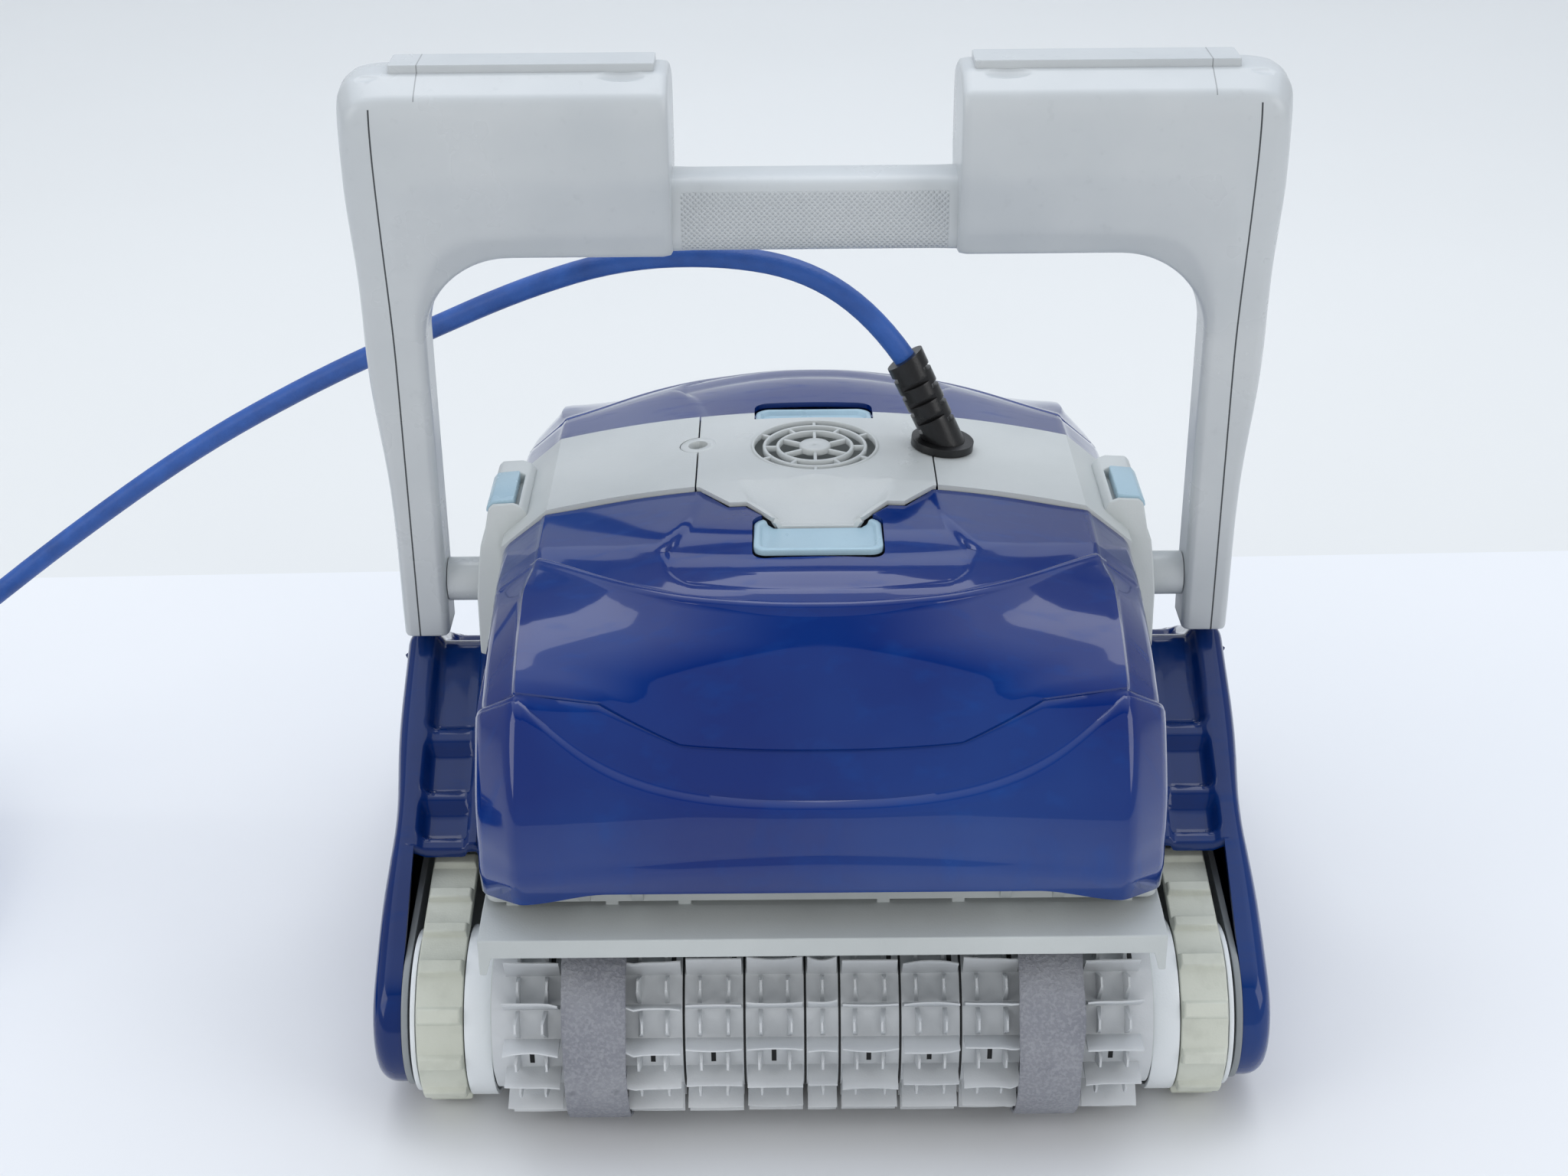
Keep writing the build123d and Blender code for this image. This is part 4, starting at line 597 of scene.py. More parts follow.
for side, place in ((-1, "left"), (1, "right")):
    loop = side_loop()
    ahead = np.roll(loop, -2, 0) - np.roll(loop, 2, 0)
    ahead /= np.linalg.norm(ahead, axis=1)[:, None]
    inward = np.stack([-ahead[:, 1], ahead[:, 0]], 1)
    count = len(loop)
    rings = []
    for inset in rim_insets[::-1]:
        ring = []
        for (y, z), turn in zip(loop, inward):
            reach = outer_reach(y)
            if inset < rim_radius:
                share = math.sqrt(1 - ((rim_radius - inset) / rim_radius) ** 2)
                x = side_crest + (reach - side_crest) * share
            else:
                x = reach - 1.4 * float(ease((inset - 12) / 4))
            spot = np.array([y, z]) + turn * inset
            ring.append((x, *spot))
        rings.append(ring)
    points = [p for ring in rings for p in ring]
    faces = []
    for r in range(len(rings) - 1):
        for k in range(count):
            n = (k + 1) % count
            low, high = r * count, (r + 1) * count
            faces.append((low + k, low + n, high + n, high + k))
    faces.append(tuple(range(count))[::-1])
    rim = [(len(rings) - 1) * count + k for k in range(count)]
    on_top = [
        k for k in range(count) if abs(loop[k][0]) <= deck_half_y and loop[k][1] > deck_low_z
    ]
    top_set = set(on_top)
    # below the deck the rim runs on as a wall to the side plate
    wall_points = {}
    for k in range(count):
        if not {k, (k + 1) % count, (k - 1) % count} <= top_set:
            wall_points[k] = len(points)
            points.append((side_plate_x, *loop[k]))
    for k in range(count):
        n = (k + 1) % count
        if k in wall_points and n in wall_points and not (k in top_set and n in top_set):
            faces.append((rim[k], rim[n], wall_points[n], wall_points[k]))
    # the deck
    on_top.sort(key=lambda k: loop[k][0])
    strips = []
    for k in on_top:
        y, z = loop[k]
        strip = [rim[k]]
        for x in deck_columns:
            strip.append(len(points))
            points.append((x, y, z + deck_rise(x, y)))
        low = z - skirt_drop
        if abs(y) < band_foot[0]:
            low = min(low, band_foot[1])
        strip.append(len(points))
        points.append((deck_columns[-1], y, low))
        strips.append(strip)
    for first, second in zip(strips, strips[1:]):
        for c in range(len(first) - 1):
            faces.append((first[c], first[c + 1], second[c + 1], second[c]))
    # rounded lips over the wheels
    for strip, way in ((strips[0], -1), (strips[-1], 1)):
        before = strip
        for out, down in wheel_lip:
            lip = []
            for index in strip[:-1]:
                x, y, z = points[index]
                lip.append(len(points))
                points.append((min(x, wheel_lip_x), y + way * out, z - down))
            for c in range(len(lip) - 1):
                quad = (before[c], before[c + 1], lip[c + 1], lip[c])
                faces.append(quad if way < 0 else quad[::-1])
            before = lip
    shape = add_mesh(
        f"side_shell_{place}",
        [(side * x * mm, y * mm, z * mm) for x, y, z in points],
        [f if side > 0 else f[::-1] for f in faces],
    )
    face_outwards(shape)
    outer_face = max(shape.data.polygons, key=lambda f: len(f.vertices))
    if outer_face.normal.x * side < 0:
        shape.data.flip_normals()
    shell = shape.modifiers.new("shell", "SOLIDIFY")
    shell.thickness, shell.offset = side_wall * mm, -1
    settle(shape)
    shape.data.materials.append(side_blue.material)
    shape.data.shade_smooth()
    shape.data.set_sharp_from_angle(angle=math.radians(50))
    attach(shape, "body")
    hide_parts(f"side_cover_{place}")


# ---- Brushes ----------------------------------------------------------------
# Moulded rubber sleeves on hollow cores, front and rear, under channel-shaped
# guards. Fifteen rows of thin bent flaps in segments, short studs between them.
brush_y = 160.395
brush_z = 52.0
sleeve_bore = 34.3
sleeve_radius = 37.0
flap_root = sleeve_radius - 0.4
flap_tip = 49.4
flap_count = 15
half_row = 12.0             # degrees from a row of flaps to the studs beside it
wide_segment = 25.5
middle_segment = 13.5
segment_gap = 2.2
sleeve_half = 151.0
plain_end = 4.0             # the sleeve's ends have no flaps or studs
ring_x = 103.5              # middle of a foam ring
ring_half = 14.6
ring_reach = 17.5           # flaps lie flat up to here from its middle
slot_shade_radius = 37.12         # painted shade: near-black sheets for the slots and grooves lie just over the sleeve
groove_shade_band = ((-0.55, 36.9), (-0.55, slot_shade_radius), (0.55, slot_shade_radius), (0.55, 36.9))
# half thickness of a flap at shares of its height
flap_outline = ((0.0, 1.0), (0.35, 0.75), (0.75, 0.6), (0.97, 0.52), (1.0, 0.3))
# radius, half length and half thickness of a stud at its levels
stud_levels = ((36.7, 6.4, 1.0), (41.0, 4.6, 0.8), (45.4, 3.0, 0.65), (46.2, 2.0, 0.45))
slot_sides = (-1.1, 1.1)
slot_angles = (-6.5, -2.0, 2.0, 6.5)
dress(light_grey, "brush_core_front", "brush_core_rear", edge=0.0004)
dress(light_grey, "brush_guard_front", "brush_guard_rear", edge=0.0006)


def brush_segments():
    """Middle and width of each segment of flaps."""
    segments = [(0.0, middle_segment)]
    edge = middle_segment / 2
    while edge + segment_gap + wide_segment <= sleeve_half - plain_end:
        middle = edge + segment_gap + wide_segment / 2
        segments += [(middle, wide_segment), (-middle, wide_segment)]
        edge += segment_gap + wide_segment
    return segments


rubber = plastic("brush_rubber", 0xD0D3D5, 0xB6BABD, rough=(0.45, 0.6))
# painted shade: a near-black finish that stands in for the shade inside the sleeve's slots and
# grooves
painted_slot_shade = plastic("brush_slot_painted_shade", 0x0C0C0E, 0x18181A, rough=(0.6, 0.7))
chance = np.random.default_rng(7)


for front, place in ((-1, "front"), (1, "rear")):
    mould = Mould()

    def spot(x, radius, degrees):
        """Point on the brush at x, given as radius and angle round its axis."""
        a = math.radians(degrees)
        return (x, front * brush_y + radius * math.cos(a), brush_z + radius * math.sin(a))

    angles = np.arange(0, 360, 6)
    profile = [(-sleeve_half, r) for r in (sleeve_bore, sleeve_radius)]
    profile += [(sleeve_half, r) for r in (sleeve_radius, sleeve_bore)]
    mould.patch([[spot(x, r, a) for a in angles] for x, r in profile], closed=True)
    for middle, width in brush_segments():
        # painted shade: near-black bands for the grooves at the outer edges of a segment and its
        # twin
        if 0 <= middle < sleeve_half - 20:
            for way in (-1, 1):
                edge = way * (middle + width / 2 + segment_gap / 2)
                rounds = [[spot(edge + dx, r, a) for a in angles] for dx, r in groove_shade_band]
                mould.patch(rounds, 1, closed=True)
        for row in range(flap_count):
            angle = 360 / flap_count * row
            lean = chance.normal(0, 0.9)
            wave = chance.normal(0, 0.8)
            curl = chance.normal(0, 1.0) if chance.random() < 0.25 else 0.0
            near_ring = abs(abs(middle) - ring_x) < ring_x and width > 10
            xs = np.linspace(-width / 2 + 0.1, width / 2 - 0.1, 7)
            loops = []
            for share, thick in (*flap_outline, *[(s, -t) for s, t in flap_outline[::-1]]):
                line = []
                for x in xs:
                    across = x / (width / 2)
                    from_ring = abs(abs(middle + x) - ring_x)
                    free = 1 - float(ease((ring_reach - from_ring) / 3))
                    bend = share**2 * (lean + wave * across**2 + curl * max(across, 0) ** 3) * free
                    if near_ring:
                        pinch = math.exp(-((from_ring - 15) / 5) ** 2)
                        bend += share**2 * 1.4 * pinch * free
                    radius = flap_root + share * (flap_tip - flap_root)
                    turned = angle + math.degrees((bend + thick) / radius)
                    line.append(spot(middle + x, radius, turned))
                loops.append(line)
            mould.patch(loops)
            mould.cap([line[0] for line in loops])
            mould.cap([line[-1] for line in loops])
            # studs half way to the next row
            studs = (-0.25, 0.25) if width > 20 else (0.0,)
            for stud in studs:
                x = middle + stud * width + chance.normal(0, 0.2)
                if abs(abs(x) - ring_x) < 15.5 or abs(x) > sleeve_half - plain_end:
                    continue
                tilt = chance.normal(0, 0.5)
                stack = []
                for radius, half_long, half_thick in stud_levels:
                    sway = tilt * (radius - stud_levels[0][0]) / 8
                    corners = []
                    for dx, da in ((-1, -1), (1, -1), (1, 1), (-1, 1)):
                        turned = angle + half_row + math.degrees(da * half_long / radius)
                        corners.append(spot(x + sway + dx * half_thick, radius, turned))
                    stack.append(corners)
                mould.patch(stack, closed=True)
                mould.cap(stack[-1])
            # painted shade: near-black patches for the moulding slots through the sleeve in every
            # third row
            if row % 3 == 1 and width > 20 and abs(abs(middle) - ring_x) > 16:
                x = middle - 0.02 * width if row % 2 else middle + 0.36 * width
                slot_shade_patch = [
                    [spot(x + dx, slot_shade_radius, angle + half_row + da) for dx in slot_sides]
                    for da in slot_angles
                ]
                mould.patch(slot_shade_patch, 1)
    sleeve = mould.make(f"flap_sleeve_{place}", rubber, painted_slot_shade)
    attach(sleeve, f"brush_{place}")
    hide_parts(f"brush_sleeve_{place}")

# foam rings pulled over the flaps, which grip the wall while the cleaner climbs
foam = Finish("ring_foam", 0x85868D, Roughness=0.9)
foam_patches = foam.noise(0.03, 4, spread=(0.35, 0.75))
foam_specks = foam.noise(0.0016, 2, spread=(0.42, 0.62))
foam_stain = foam.noise(0.016, 2, spread=(0.66, 0.74))
foam_worn = foam.mix(foam_patches, 0x7D7F87, 0x92949A)
foam_specked = foam.mix(foam_specks * 0.35, foam_worn, 0xA9ABB0)
foam.set(
    Base_Color=foam.mix(foam_stain * 0.5, foam_specked, 0x5F6168),
    Normal=foam.bump(foam_specks + foam.noise(0.005, 3) * 2, 0.0002),
)
ring_section = (
    # share of the half width, step back from it, radius
    (-1, -0.4, 49.5), (-1, 0.0, 50.0), (-1, 0.0, 50.9), (-1, -0.5, 51.35),
    (-0.5, 0, 51.5), (0, 0, 51.45), (0.5, 0, 51.5),
    (1, -0.5, 51.35), (1, 0.0, 50.9), (1, 0.0, 50.0), (1, -0.4, 49.5),
)


def ripple(wave, degrees):
    """How far a ring's cut edge wanders at this angle."""
    a = math.radians(degrees)
    swing = wave[0] * math.cos(2 * a) + wave[1] * math.sin(3 * a) + 0.6 * wave[2] * math.cos(7 * a)
    return 0.3 * swing


for front, place in ((-1, "front"), (1, "rear")):
    mould = Mould()
    for middle in (-ring_x, ring_x):
        turns = np.linspace(0, 360, 97)[:-1]
        waves = [chance.normal(0, 1, 3) for _ in range(2)]
        rows = []
        for share, back, radius in ring_section:
            row = []
            for turn in turns:
                half = ring_half + ripple(waves[0 if share < 0 else 1], turn)
                x = middle + share * (half + back)
                a = math.radians(turn)
                bulge = radius + 0.12 * math.sin(3 * a + middle)
                y, z = front * brush_y + bulge * math.cos(a), brush_z + bulge * math.sin(a)
                row.append((x, y, z))
            rows.append(row)
        mould.patch(rows + rows[:1], closed=True)
    rings = mould.make(f"foam_rings_{place}", foam, angle=60)
    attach(rings, f"brush_{place}")
    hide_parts(f"climbing_rings_{place}")


# ---- Top band and outlet cover ----------------------------------------------
# Light grey mouldings screwed down between the covers. The outlet cover in the
# middle has the grille over the impeller and a nose over the front cover's latch.
band_grey = plastic("band_grey_plastic", 0xCBCFCE, 0xBFC4C3, rough=(0.3, 0.42))
dress(band_grey, "top_band_left", "top_band_right", edge=0)
nose_grey = plastic("nose_plastic", 0xCBCFCE, 0xBFC4C3, rough=(0.26, 0.38))
arch_radius = 581.1
crease_y = 40.0
outlet_half_x = 57.1
outlet_back_y = 42.6
outlet_wall = 2.4
seat_radius = 30.4
gland_place = (62.7, 4.3)
well_place = (-57.5, 7.0)
gland_hole = 9.4
well_hole = 4.6
nose_half_x = (0, 19.5, 33, 41, 56, 57.2)
nose_front_y = (80, 80, 61.5, 61, 43, 43)
nose_shares = (0, 0.04, 0.1, 0.2, 0.3, 0.4, 0.5, 0.6, 0.7, 0.8, 0.88, 0.94, 0.975, 1.0)
nose_lip = 0.7
rear_notch = [(-30, 34.2), (30, 34.2), (30, 50), (-30, 50)]       # for the rear latch
band_under, band_over = 240, 290        # levels well under and over the band, for cutting


def band_height(x):
    """Level of the band's arched top at x."""
    return 270.0 - arch_radius + math.sqrt(arch_radius**2 - x**2)


def nose_reach(x):
    """How far the outlet cover reaches to the front at x."""
    return float(np.interp(abs(x), nose_half_x, nose_front_y))


def nose_height(x, y):
    """Height of the nose: a hollow bowl between two slanted wings."""
    away = -y - crease_y
    rim = band_height(x) - 0.07 * away
    floor = 269.4 - 0.155 * away - 1.9 * math.sin(math.pi * min(away / 42, 1))
    floor += 2.6 * math.exp(-((x / 11) ** 2)) * float(ease((58 + y) / 16))
    half = float(np.interp(-y, (40, 61, 63, 80), (41, 33, 30, 18.6)))
    before, across = (6.5, 6.0) if away < 36 else (2.0, 2.0)
    wing = float(ease((abs(x) - half + before) / across))
    return floor + (rim - floor) * wing


corners_x = nose_half_x[1:4]
steps_x = np.unique(
    [*np.linspace(-outlet_half_x, outlet_half_x, 77), *corners_x, *[-x for x in corners_x]]
)
grid = []
for x in steps_x:
    column = [(x, y, band_height(x)) for y in np.linspace(outlet_back_y, -crease_y + 1.0, 26)]
    reach = nose_reach(x)
    for share in nose_shares:
        y = -crease_y - share * (reach - crease_y)
        lip = nose_lip * float(ease((share - 0.93) / 0.04)) if abs(x) < 19.6 else 0.0
        column.append((x, y, nose_height(x, y) + lip))
    grid.append(column)
mould = Mould()
mould.patch(grid)
outlet = mould.make("outlet_nose", nose_grey, angle=30)
if outlet.data.polygons[0].normal.z < 0:
    outlet.data.flip_normals()
shell = outlet.modifiers.new("shell", "SOLIDIFY")
shell.thickness, shell.offset = outlet_wall * mm, -1
settle(outlet)


def prism(name, outline, low, high):
    """Upright block over an outline in millimetres, used to cut."""
    count = len(outline)
    points = [(x * mm, y * mm, z * mm) for z in (low, high) for x, y in outline]
    faces = [tuple(range(count))[::-1], tuple(range(count, 2 * count))]
    faces += [(k, (k + 1) % count, (k + 1) % count + count, k + count) for k in range(count)]
    block = add_mesh(name, points, faces, smooth=False)
    face_outwards(block)
    return block


def cut(piece, cutter):
    """Cuts the piece with the cutter, which is then thrown away."""
    boolean = piece.modifiers.new("cut", "BOOLEAN")
    boolean.object, boolean.operation, boolean.solver = cutter, "DIFFERENCE", "EXACT"
    settle(piece)
    bpy.data.objects.remove(cutter)


cut(outlet, prism("rear_latch_notch", rear_notch, band_under, band_over))


def ring_outline(middle, radius, steps):
    """Points round a circle in plan."""
    turns = np.linspace(0, 2 * math.pi, steps + 1)[:-1]
    return [(middle[0] + radius * math.cos(a), middle[1] + radius * math.sin(a)) for a in turns]


for place, radius in (((0, 0), seat_radius), (gland_place, gland_hole), (well_place, well_hole)):
    cut(outlet, prism("hole", ring_outline(place, radius, 48), band_under, band_over))
round_edges(outlet, 0.0005)
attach(outlet, "body")
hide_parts("outlet_cover")


def lathe(mould, middle, profile, height=None):
    """Turns (radius, drop) pairs round an upright axis, hung from height or from the band."""
    rows = []
    for radius, drop in profile:
        ring = ring_outline(middle, radius, 72)
        rows.append([(x, y, (height or band_height(x)) - drop) for x, y in ring])
    mould.patch(rows, closed=True)


grille_top = 269.7
spoke_top = 269.2
grille_depth = 3
# inner and outer radius of the hub and rings, and how far each lies under the top
grille_rings = ((0.05, 7.7, -0.5), (17.5, 19.1, 0.1), (24.1, 25.7, 0.1), (29.9, 31.4, -0.4))
spoke_reach = ((7.2, 18.2), (18.4, 24.8), (25.0, 30.4))
spoke_section = ((-0.8, -2.5), (-0.8, -0.3), (-0.5, 0), (0.5, 0), (0.8, -0.3), (0.8, -2.5))
spokes_round = 6
spoke_step = 360 / spokes_round
well_lug = ((well_hole, 9.0), (4.7, 0.5), (5.1, 0.0), (8.6, -0.05), (9.0, 0.35), (9.0, 2.4))
mould = Mould()
for inner, outer, drop in grille_rings:
    foot = drop + grille_depth
    section = [
        (inner, foot), (inner, drop + 0.3), (inner + 0.3, drop), (outer - 0.5, drop),
        (outer, drop + 0.5), (outer, foot), (inner, foot),
    ]
    lathe(mould, (0, 0), section, height=grille_top)
for ring, reach in enumerate(spoke_reach):
    for spoke in range(spokes_round):
        # each ring's spokes stand half a step on from those of the ring inside it
        a = math.radians(spoke_step * (spoke + (ring + 1) / 2))
        along = Vector((math.cos(a), math.sin(a), 0))
        across = Vector((-math.sin(a), math.cos(a), 0))
        rows = []
        for r in reach:
            middle = along * r + Vector((0, 0, spoke_top))
            rows.append([middle + across * s + Vector((0, 0, drop)) for s, drop in spoke_section])
        mould.patch(rows)
# round lug of the screw well, with its sunk wall
lathe(mould, well_place, well_lug)
grille = mould.make("outlet_grille", nose_grey, angle=50)
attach(grille, "body")
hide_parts("outlet_cover")


# ---- Filter covers ----------------------------------------------------------
# Two gloss blue lids on a rubber seal, hinged on steel pins at their lower edges.
# Each is one moulding with a bowed visor edge, a notched panel and a smile bevel.
cover_wall = 2.6
cover_rear_y = -43.8
cover_sections = (
    # distance from the middle; (Y, Z) from the rear edge over the visor to the lower edge
    (0, ((-43.8, 265.5), (-112, 266), (-124, 261), (-140, 251), (-160, 230), (-175, 206))),
    (40, ((-43.8, 264), (-104, 263), (-121, 258.5), (-136, 250.6), (-157.5, 231), (-174.5, 206.5))),
    (78, ((-43.8, 260.5), (-90, 257), (-108, 253.5), (-122.5, 249.5), (-150, 233.5), (-172, 210))),
    (133, ((-43.8, 251), (-70, 248.8), (-77, 248), (-84, 247), (-127, 237.5), (-163, 221))),
)
cover_lower = ((-190, 180), (-195.5, 153), (-188, 131))
cover_edge_x = 133.0        # where the front face turns into the slanted sides
visor_place = 3.0           # places along a section count its points
bead = 0.075                # half width of the bead along the visor edge, in places
section_step = 0.02
across_blend = 28.0         # neighbouring sections blend over this distance
front_soft, top_soft, zone_soft = 18, 16, 60        # steps that are averaged to both sides
top_drawn_in = 4.6          # above the visor the top is narrower than the front face
side_step = 2.6             # the upper part of the sides stands back
visor_rise = 0.55
panel_rise = 1.1            # of the notched panel over the smile's floor
bevel_drop = 1.7
zone_drop = 0.8
facet = (
    # how far out and how far back the slanted corner and the side go
    (1.0, 0.3), (2.2, 1.0), (3.6, 2.2), (5.4, 4.1), (15.5, 14.8), (17.3, 17.0), (18.4, 19.4),
    (18.8, 22.0),
)
cover_blue = gloss_blue("blue_gloss_plastic", 0x03256C, 0x164A94)
dress(black, "cover_seal", edge=0.0005)
dress(steel, "cover_hinge_pins", edge=0)


def middle_zone(places):
    """Half width of the lower flat zone in the middle of the top, along its sides."""
    straight = 56 + 15.5 * np.minimum(places / 1.4, 1.0)
    corner = np.clip((places - 1.9) / 0.7, 0, 1)
    return straight - 1.5 * np.maximum(places - 1.4, 0) - 16 * (1 - np.sqrt(1 - corner**2 * 0.98))


def cover_section(x):
    """Dense (Y, Z) line of the cover at x, rounded everywhere but at the visor edge."""
    reach = [s[0] for s in cover_sections]
    table = np.array([s[1] + cover_lower for s in cover_sections], float)
    window = np.linspace(-1, 1, 9) * min(across_blend, cover_edge_x - min(abs(x), cover_edge_x))
    near = np.abs(abs(x) + window)
    knots = np.array(
        [[np.interp(near, reach, table[:, k, j]).mean() for j in (0, 1)] for k in range(9)]
    )
    places = np.arange(0, 8 + section_step / 2, section_step)
    line = np.stack([np.interp(places, range(9), knots[:, j]) for j in (0, 1)], 1)
    rounded = line.copy()
    zone = ease((middle_zone(places) - abs(x)) / 6 + 0.5)
    for start, end in ((0, visor_place), (visor_place, 8)):
        inside = np.where((places >= start - 1e-6) & (places <= end + 1e-6))[0]
        for k in inside:
            softness = front_soft if start else top_soft + zone_soft * zone[k]
            reach_k = int(min(k - inside[0], inside[-1] - k, softness))
            rounded[k] = line[k - reach_k : k + reach_k + 1].mean(0)
    return places, rounded


def cover_rows(x):
    """Places of the crease lines at x, from the rear edge to the lower edge."""
    side = abs(x)
    share = side / cover_edge_x
    ridge = 1.05 + 0.5 * float(ease((side - 66) / 60))
    notch = np.interp(side, (0, 61, 97, 133), (5.12, 5.12, 4.76, 4.9))
    smile_top = 5.95 - 0.93 * share**2.3
    smile_low = smile_top + 0.15 + 0.1 * share * (1 - share) - 0.1 * share**4
    bevel_top = 6.83 + 0.25 * share**1.5
    bevel_low = bevel_top + 0.17 + 0.14 * share**1.5
    lower = 7.68 + 0.32 * float(ease((side - 95) / 40))
    notch = min(notch, smile_top - 0.03)
    return [
        0.0, ridge, visor_place - bead, visor_place, visor_place + bead, notch, notch + 0.02,
        smile_top, smile_low, bevel_top, bevel_low, lower,
    ]


rows_between = (14, 24, 4, 4, 22, 1, 10, 3, 12, 3, 5)       # steps from crease to crease


def cover_rise(x, places, rows):
    """How far the skin stands out from its plain section, in millimetres."""
    side = abs(x)
    share = side / cover_edge_x
    above = rows[2]
    smile = -(3.4 - 2.2 * share**2)
    knots = [*rows[:11], 8]
    levels = [0, 0.4, 0, visor_rise, 0, panel_rise + smile, smile, smile, 0, -bevel_drop, 0.3, 0]
    rise = np.interp(places, knots, levels)
    inside = ease((middle_zone(places) - side) / 4.5) * ease((2.62 - places) / 0.14)
    return rise * (1 - inside * (places < above)) - zone_drop * inside


# close columns where the sides of the zone run
half_columns = np.concatenate(
    [np.linspace(0, 52, 31), np.linspace(54, 76, 16), np.linspace(79, cover_edge_x, 25)]
)
cover_columns = np.concatenate([-half_columns[:0:-1], half_columns])


def cover_column(x):
    """Places, (Y, Z) points and outward directions of one column of the skin."""
    places, line = cover_section(x)
    rows = cover_rows(x)
    stops = [rows[0]]
    for start, end, count in zip(rows, rows[1:], rows_between):
        stops += list(np.linspace(start, end, count + 1)[1:])
    stops = np.array(stops)
    behind, spots, ahead = (
        np.stack([np.interp(stops + shift, places, line[:, j]) for j in (0, 1)], 1)
        for shift in (-0.05, 0, 0.05)
    )
    along = ahead - behind
    along /= np.linalg.norm(along, axis=1)[:, None]
    outward = np.stack([-np.abs(along[:, 1]), np.abs(along[:, 0])], 1)
    return stops, spots + outward * cover_rise(x, stops, rows)[:, None], outward


def cover_skin(front):
    """Points and faces of the outer skin of a cover; front is -1, rear is 1."""
    columns = []
    for x in cover_columns:
        stops, spots, outward = cover_column(x)
        drawn_in = top_drawn_in * ease((abs(x) - 72) / 55) * ease((3.55 - stops) / 0.6)
        columns.append([(x - math.copysign(k, x), *spot) for k, spot in zip(drawn_in, spots)])
    # the last column goes on over the slanted corner to the side
    back = side_step * ease((5.0 - stops) / 0.04)
    drawn_in = top_drawn_in * ease((3.55 - stops) / 0.6)
    for across, inset in facet:
        shift = back * min(across / 3.0, 1.0) + drawn_in * max(0.0, 1 - across / 15.5)
        columns.append(
            [
                (cover_edge_x + across - k, *(spot - away * inset))
                for spot, away, k in zip(spots, outward, shift)
            ]
        )
        columns.insert(0, [(-x, y, z) for x, y, z in columns[-1]])
    points = [(x * mm, -front * y * mm, z * mm) for column in columns for x, y, z in column]
    high = len(columns[0])
    faces = []
    for c in range(len(columns) - 1):
        for r in range(high - 1):
            near, far = c * high + r, (c + 1) * high + r
            quad = (near, far, far + 1, near + 1)
            faces.append(quad if front < 0 else quad[::-1])
    # flat walls at both sides, down to the lower rear corner
    for c in (0, len(columns) - 1):
        corner = len(points)
        x = columns[c][0][0]
        points.append((x * mm, -front * cover_rear_y * mm, cover_lower[-1][1] * mm))
        wall = [c * high + r for r in range(high)] + [corner]
        faces.append(wall if (c == 0) == (front < 0) else wall[::-1])
    return points, faces


def rounded_box_outline(half_x, low_y, high_y, radius, steps=6):
    """Plan of a box with rounded corners, anticlockwise."""
    corners = (
        (half_x, high_y, 0), (-half_x, high_y, 90), (-half_x, low_y, 180), (half_x, low_y, 270),
    )
    outline = []
    for x, y, turn in corners:
        middle_x = x - math.copysign(radius, x)
        middle_y = y - (radius if y == high_y else -radius)
        for step in range(steps + 1):
            a = math.radians(turn + 90 * step / steps)
            outline.append((middle_x + radius * math.cos(a), middle_y + radius * math.sin(a)))
    return outline


nose_corners = ((56.0, -40.0), (41.0, -61.0), (33.0, -61.5), (19.5, -80.0))
nose_gap = 0.8
latch_half_x = 29.5
latch_corner = 6.5
latch_gap = 0.6
latch_travel = 3.5
pocket_floor = 250
latch_reach = {"front": (73.0, 106.5), "rear": (42.0, 59.0)}      # near and far end


def nose_plan():
    """Plan of the nose with the gap round it."""
    right = [(x + nose_gap, y - (nose_gap if y < -43 else 0)) for x, y in nose_corners]
    return right + [(-x, y) for x, y in reversed(right)]


for front, place in ((-1, "front"), (1, "rear")):
    points, faces = cover_skin(front)
    cover = add_mesh(f"filter_cover_{place}", points, faces)
    shell = cover.modifiers.new("shell", "SOLIDIFY")
    shell.thickness, shell.offset = cover_wall * mm, -1
    settle(cover)
    if front < 0:
        cut(cover, prism("nose_notch", nose_plan(), band_under, band_over))
    near, far = latch_reach[place]
    pocket = rounded_box_outline(latch_half_x + latch_gap, near, far + latch_travel, latch_corner)
    pocket = [(x, front * y) for x, y in pocket][::front]
    cut(cover, prism("latch_pocket", pocket, pocket_floor, band_over))
    cover.data.materials.append(cover_blue.material)
    cover.data.shade_smooth()
    cover.data.set_sharp_from_angle(angle=math.radians(38))
    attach(cover, f"filter_cover_{place}")
    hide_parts(f"cover_{place}")


# ---- Latches ----------------------------------------------------------------
# Pale blue trays with a raised rim and a hollow for a finger, on springs. They
# slide outwards to free a filter cover.
latch_blue = plastic("pale_blue_gloss", 0xABC7D4, 0x9DB9C7, rough=(0.24, 0.36))
tray_level = 264.9
latches = (
    # side, its name, near and far end, depth of the hollow, rise towards the near end
    (-1, "front", latch_reach["front"], 1.6, 0.0),
    (1, "rear", (34.8, 59.3), 2.6, 3.4),        # it reaches into the outlet cover's notch
)
for front, place, (near, far), hollow, slope in latches:
    rings = (
        # in from the edge, level
        (0.0, -3.0), (0.0, -0.7), (0.25, -0.2), (0.8, 0.0), (2.3, 0.0), (2.9, -0.25),
        (3.6, 0.3 - hollow), (4.4, -hollow),
    )
    mould = Mould()
    rows = []
    for inset, level in rings:
        corner = latch_corner - inset * 0.6
        outline = rounded_box_outline(latch_half_x - inset, near + inset, far - inset, corner)
        row = []
        for x, y in outline:
            rise = slope * float(ease((far - y) / (far - near)))
            row.append((x, front * y, tray_level - x * x / 900 + level + rise))
        rows.append(row)
    mould.patch(rows, closed=True)
    mould.cap(rows[-1])
    mould.cap(rows[0])
    latch = mould.make(f"latch_tray_{place}", latch_blue, angle=60)
    if front < 0:
        cut(latch, prism("nose_notch", nose_plan(), band_under, band_over))
        latch.data.shade_smooth()
        latch.data.set_sharp_from_angle(angle=math.radians(50))
    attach(latch, f"latch_tab_{place}")
    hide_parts(f"latch_{place}")


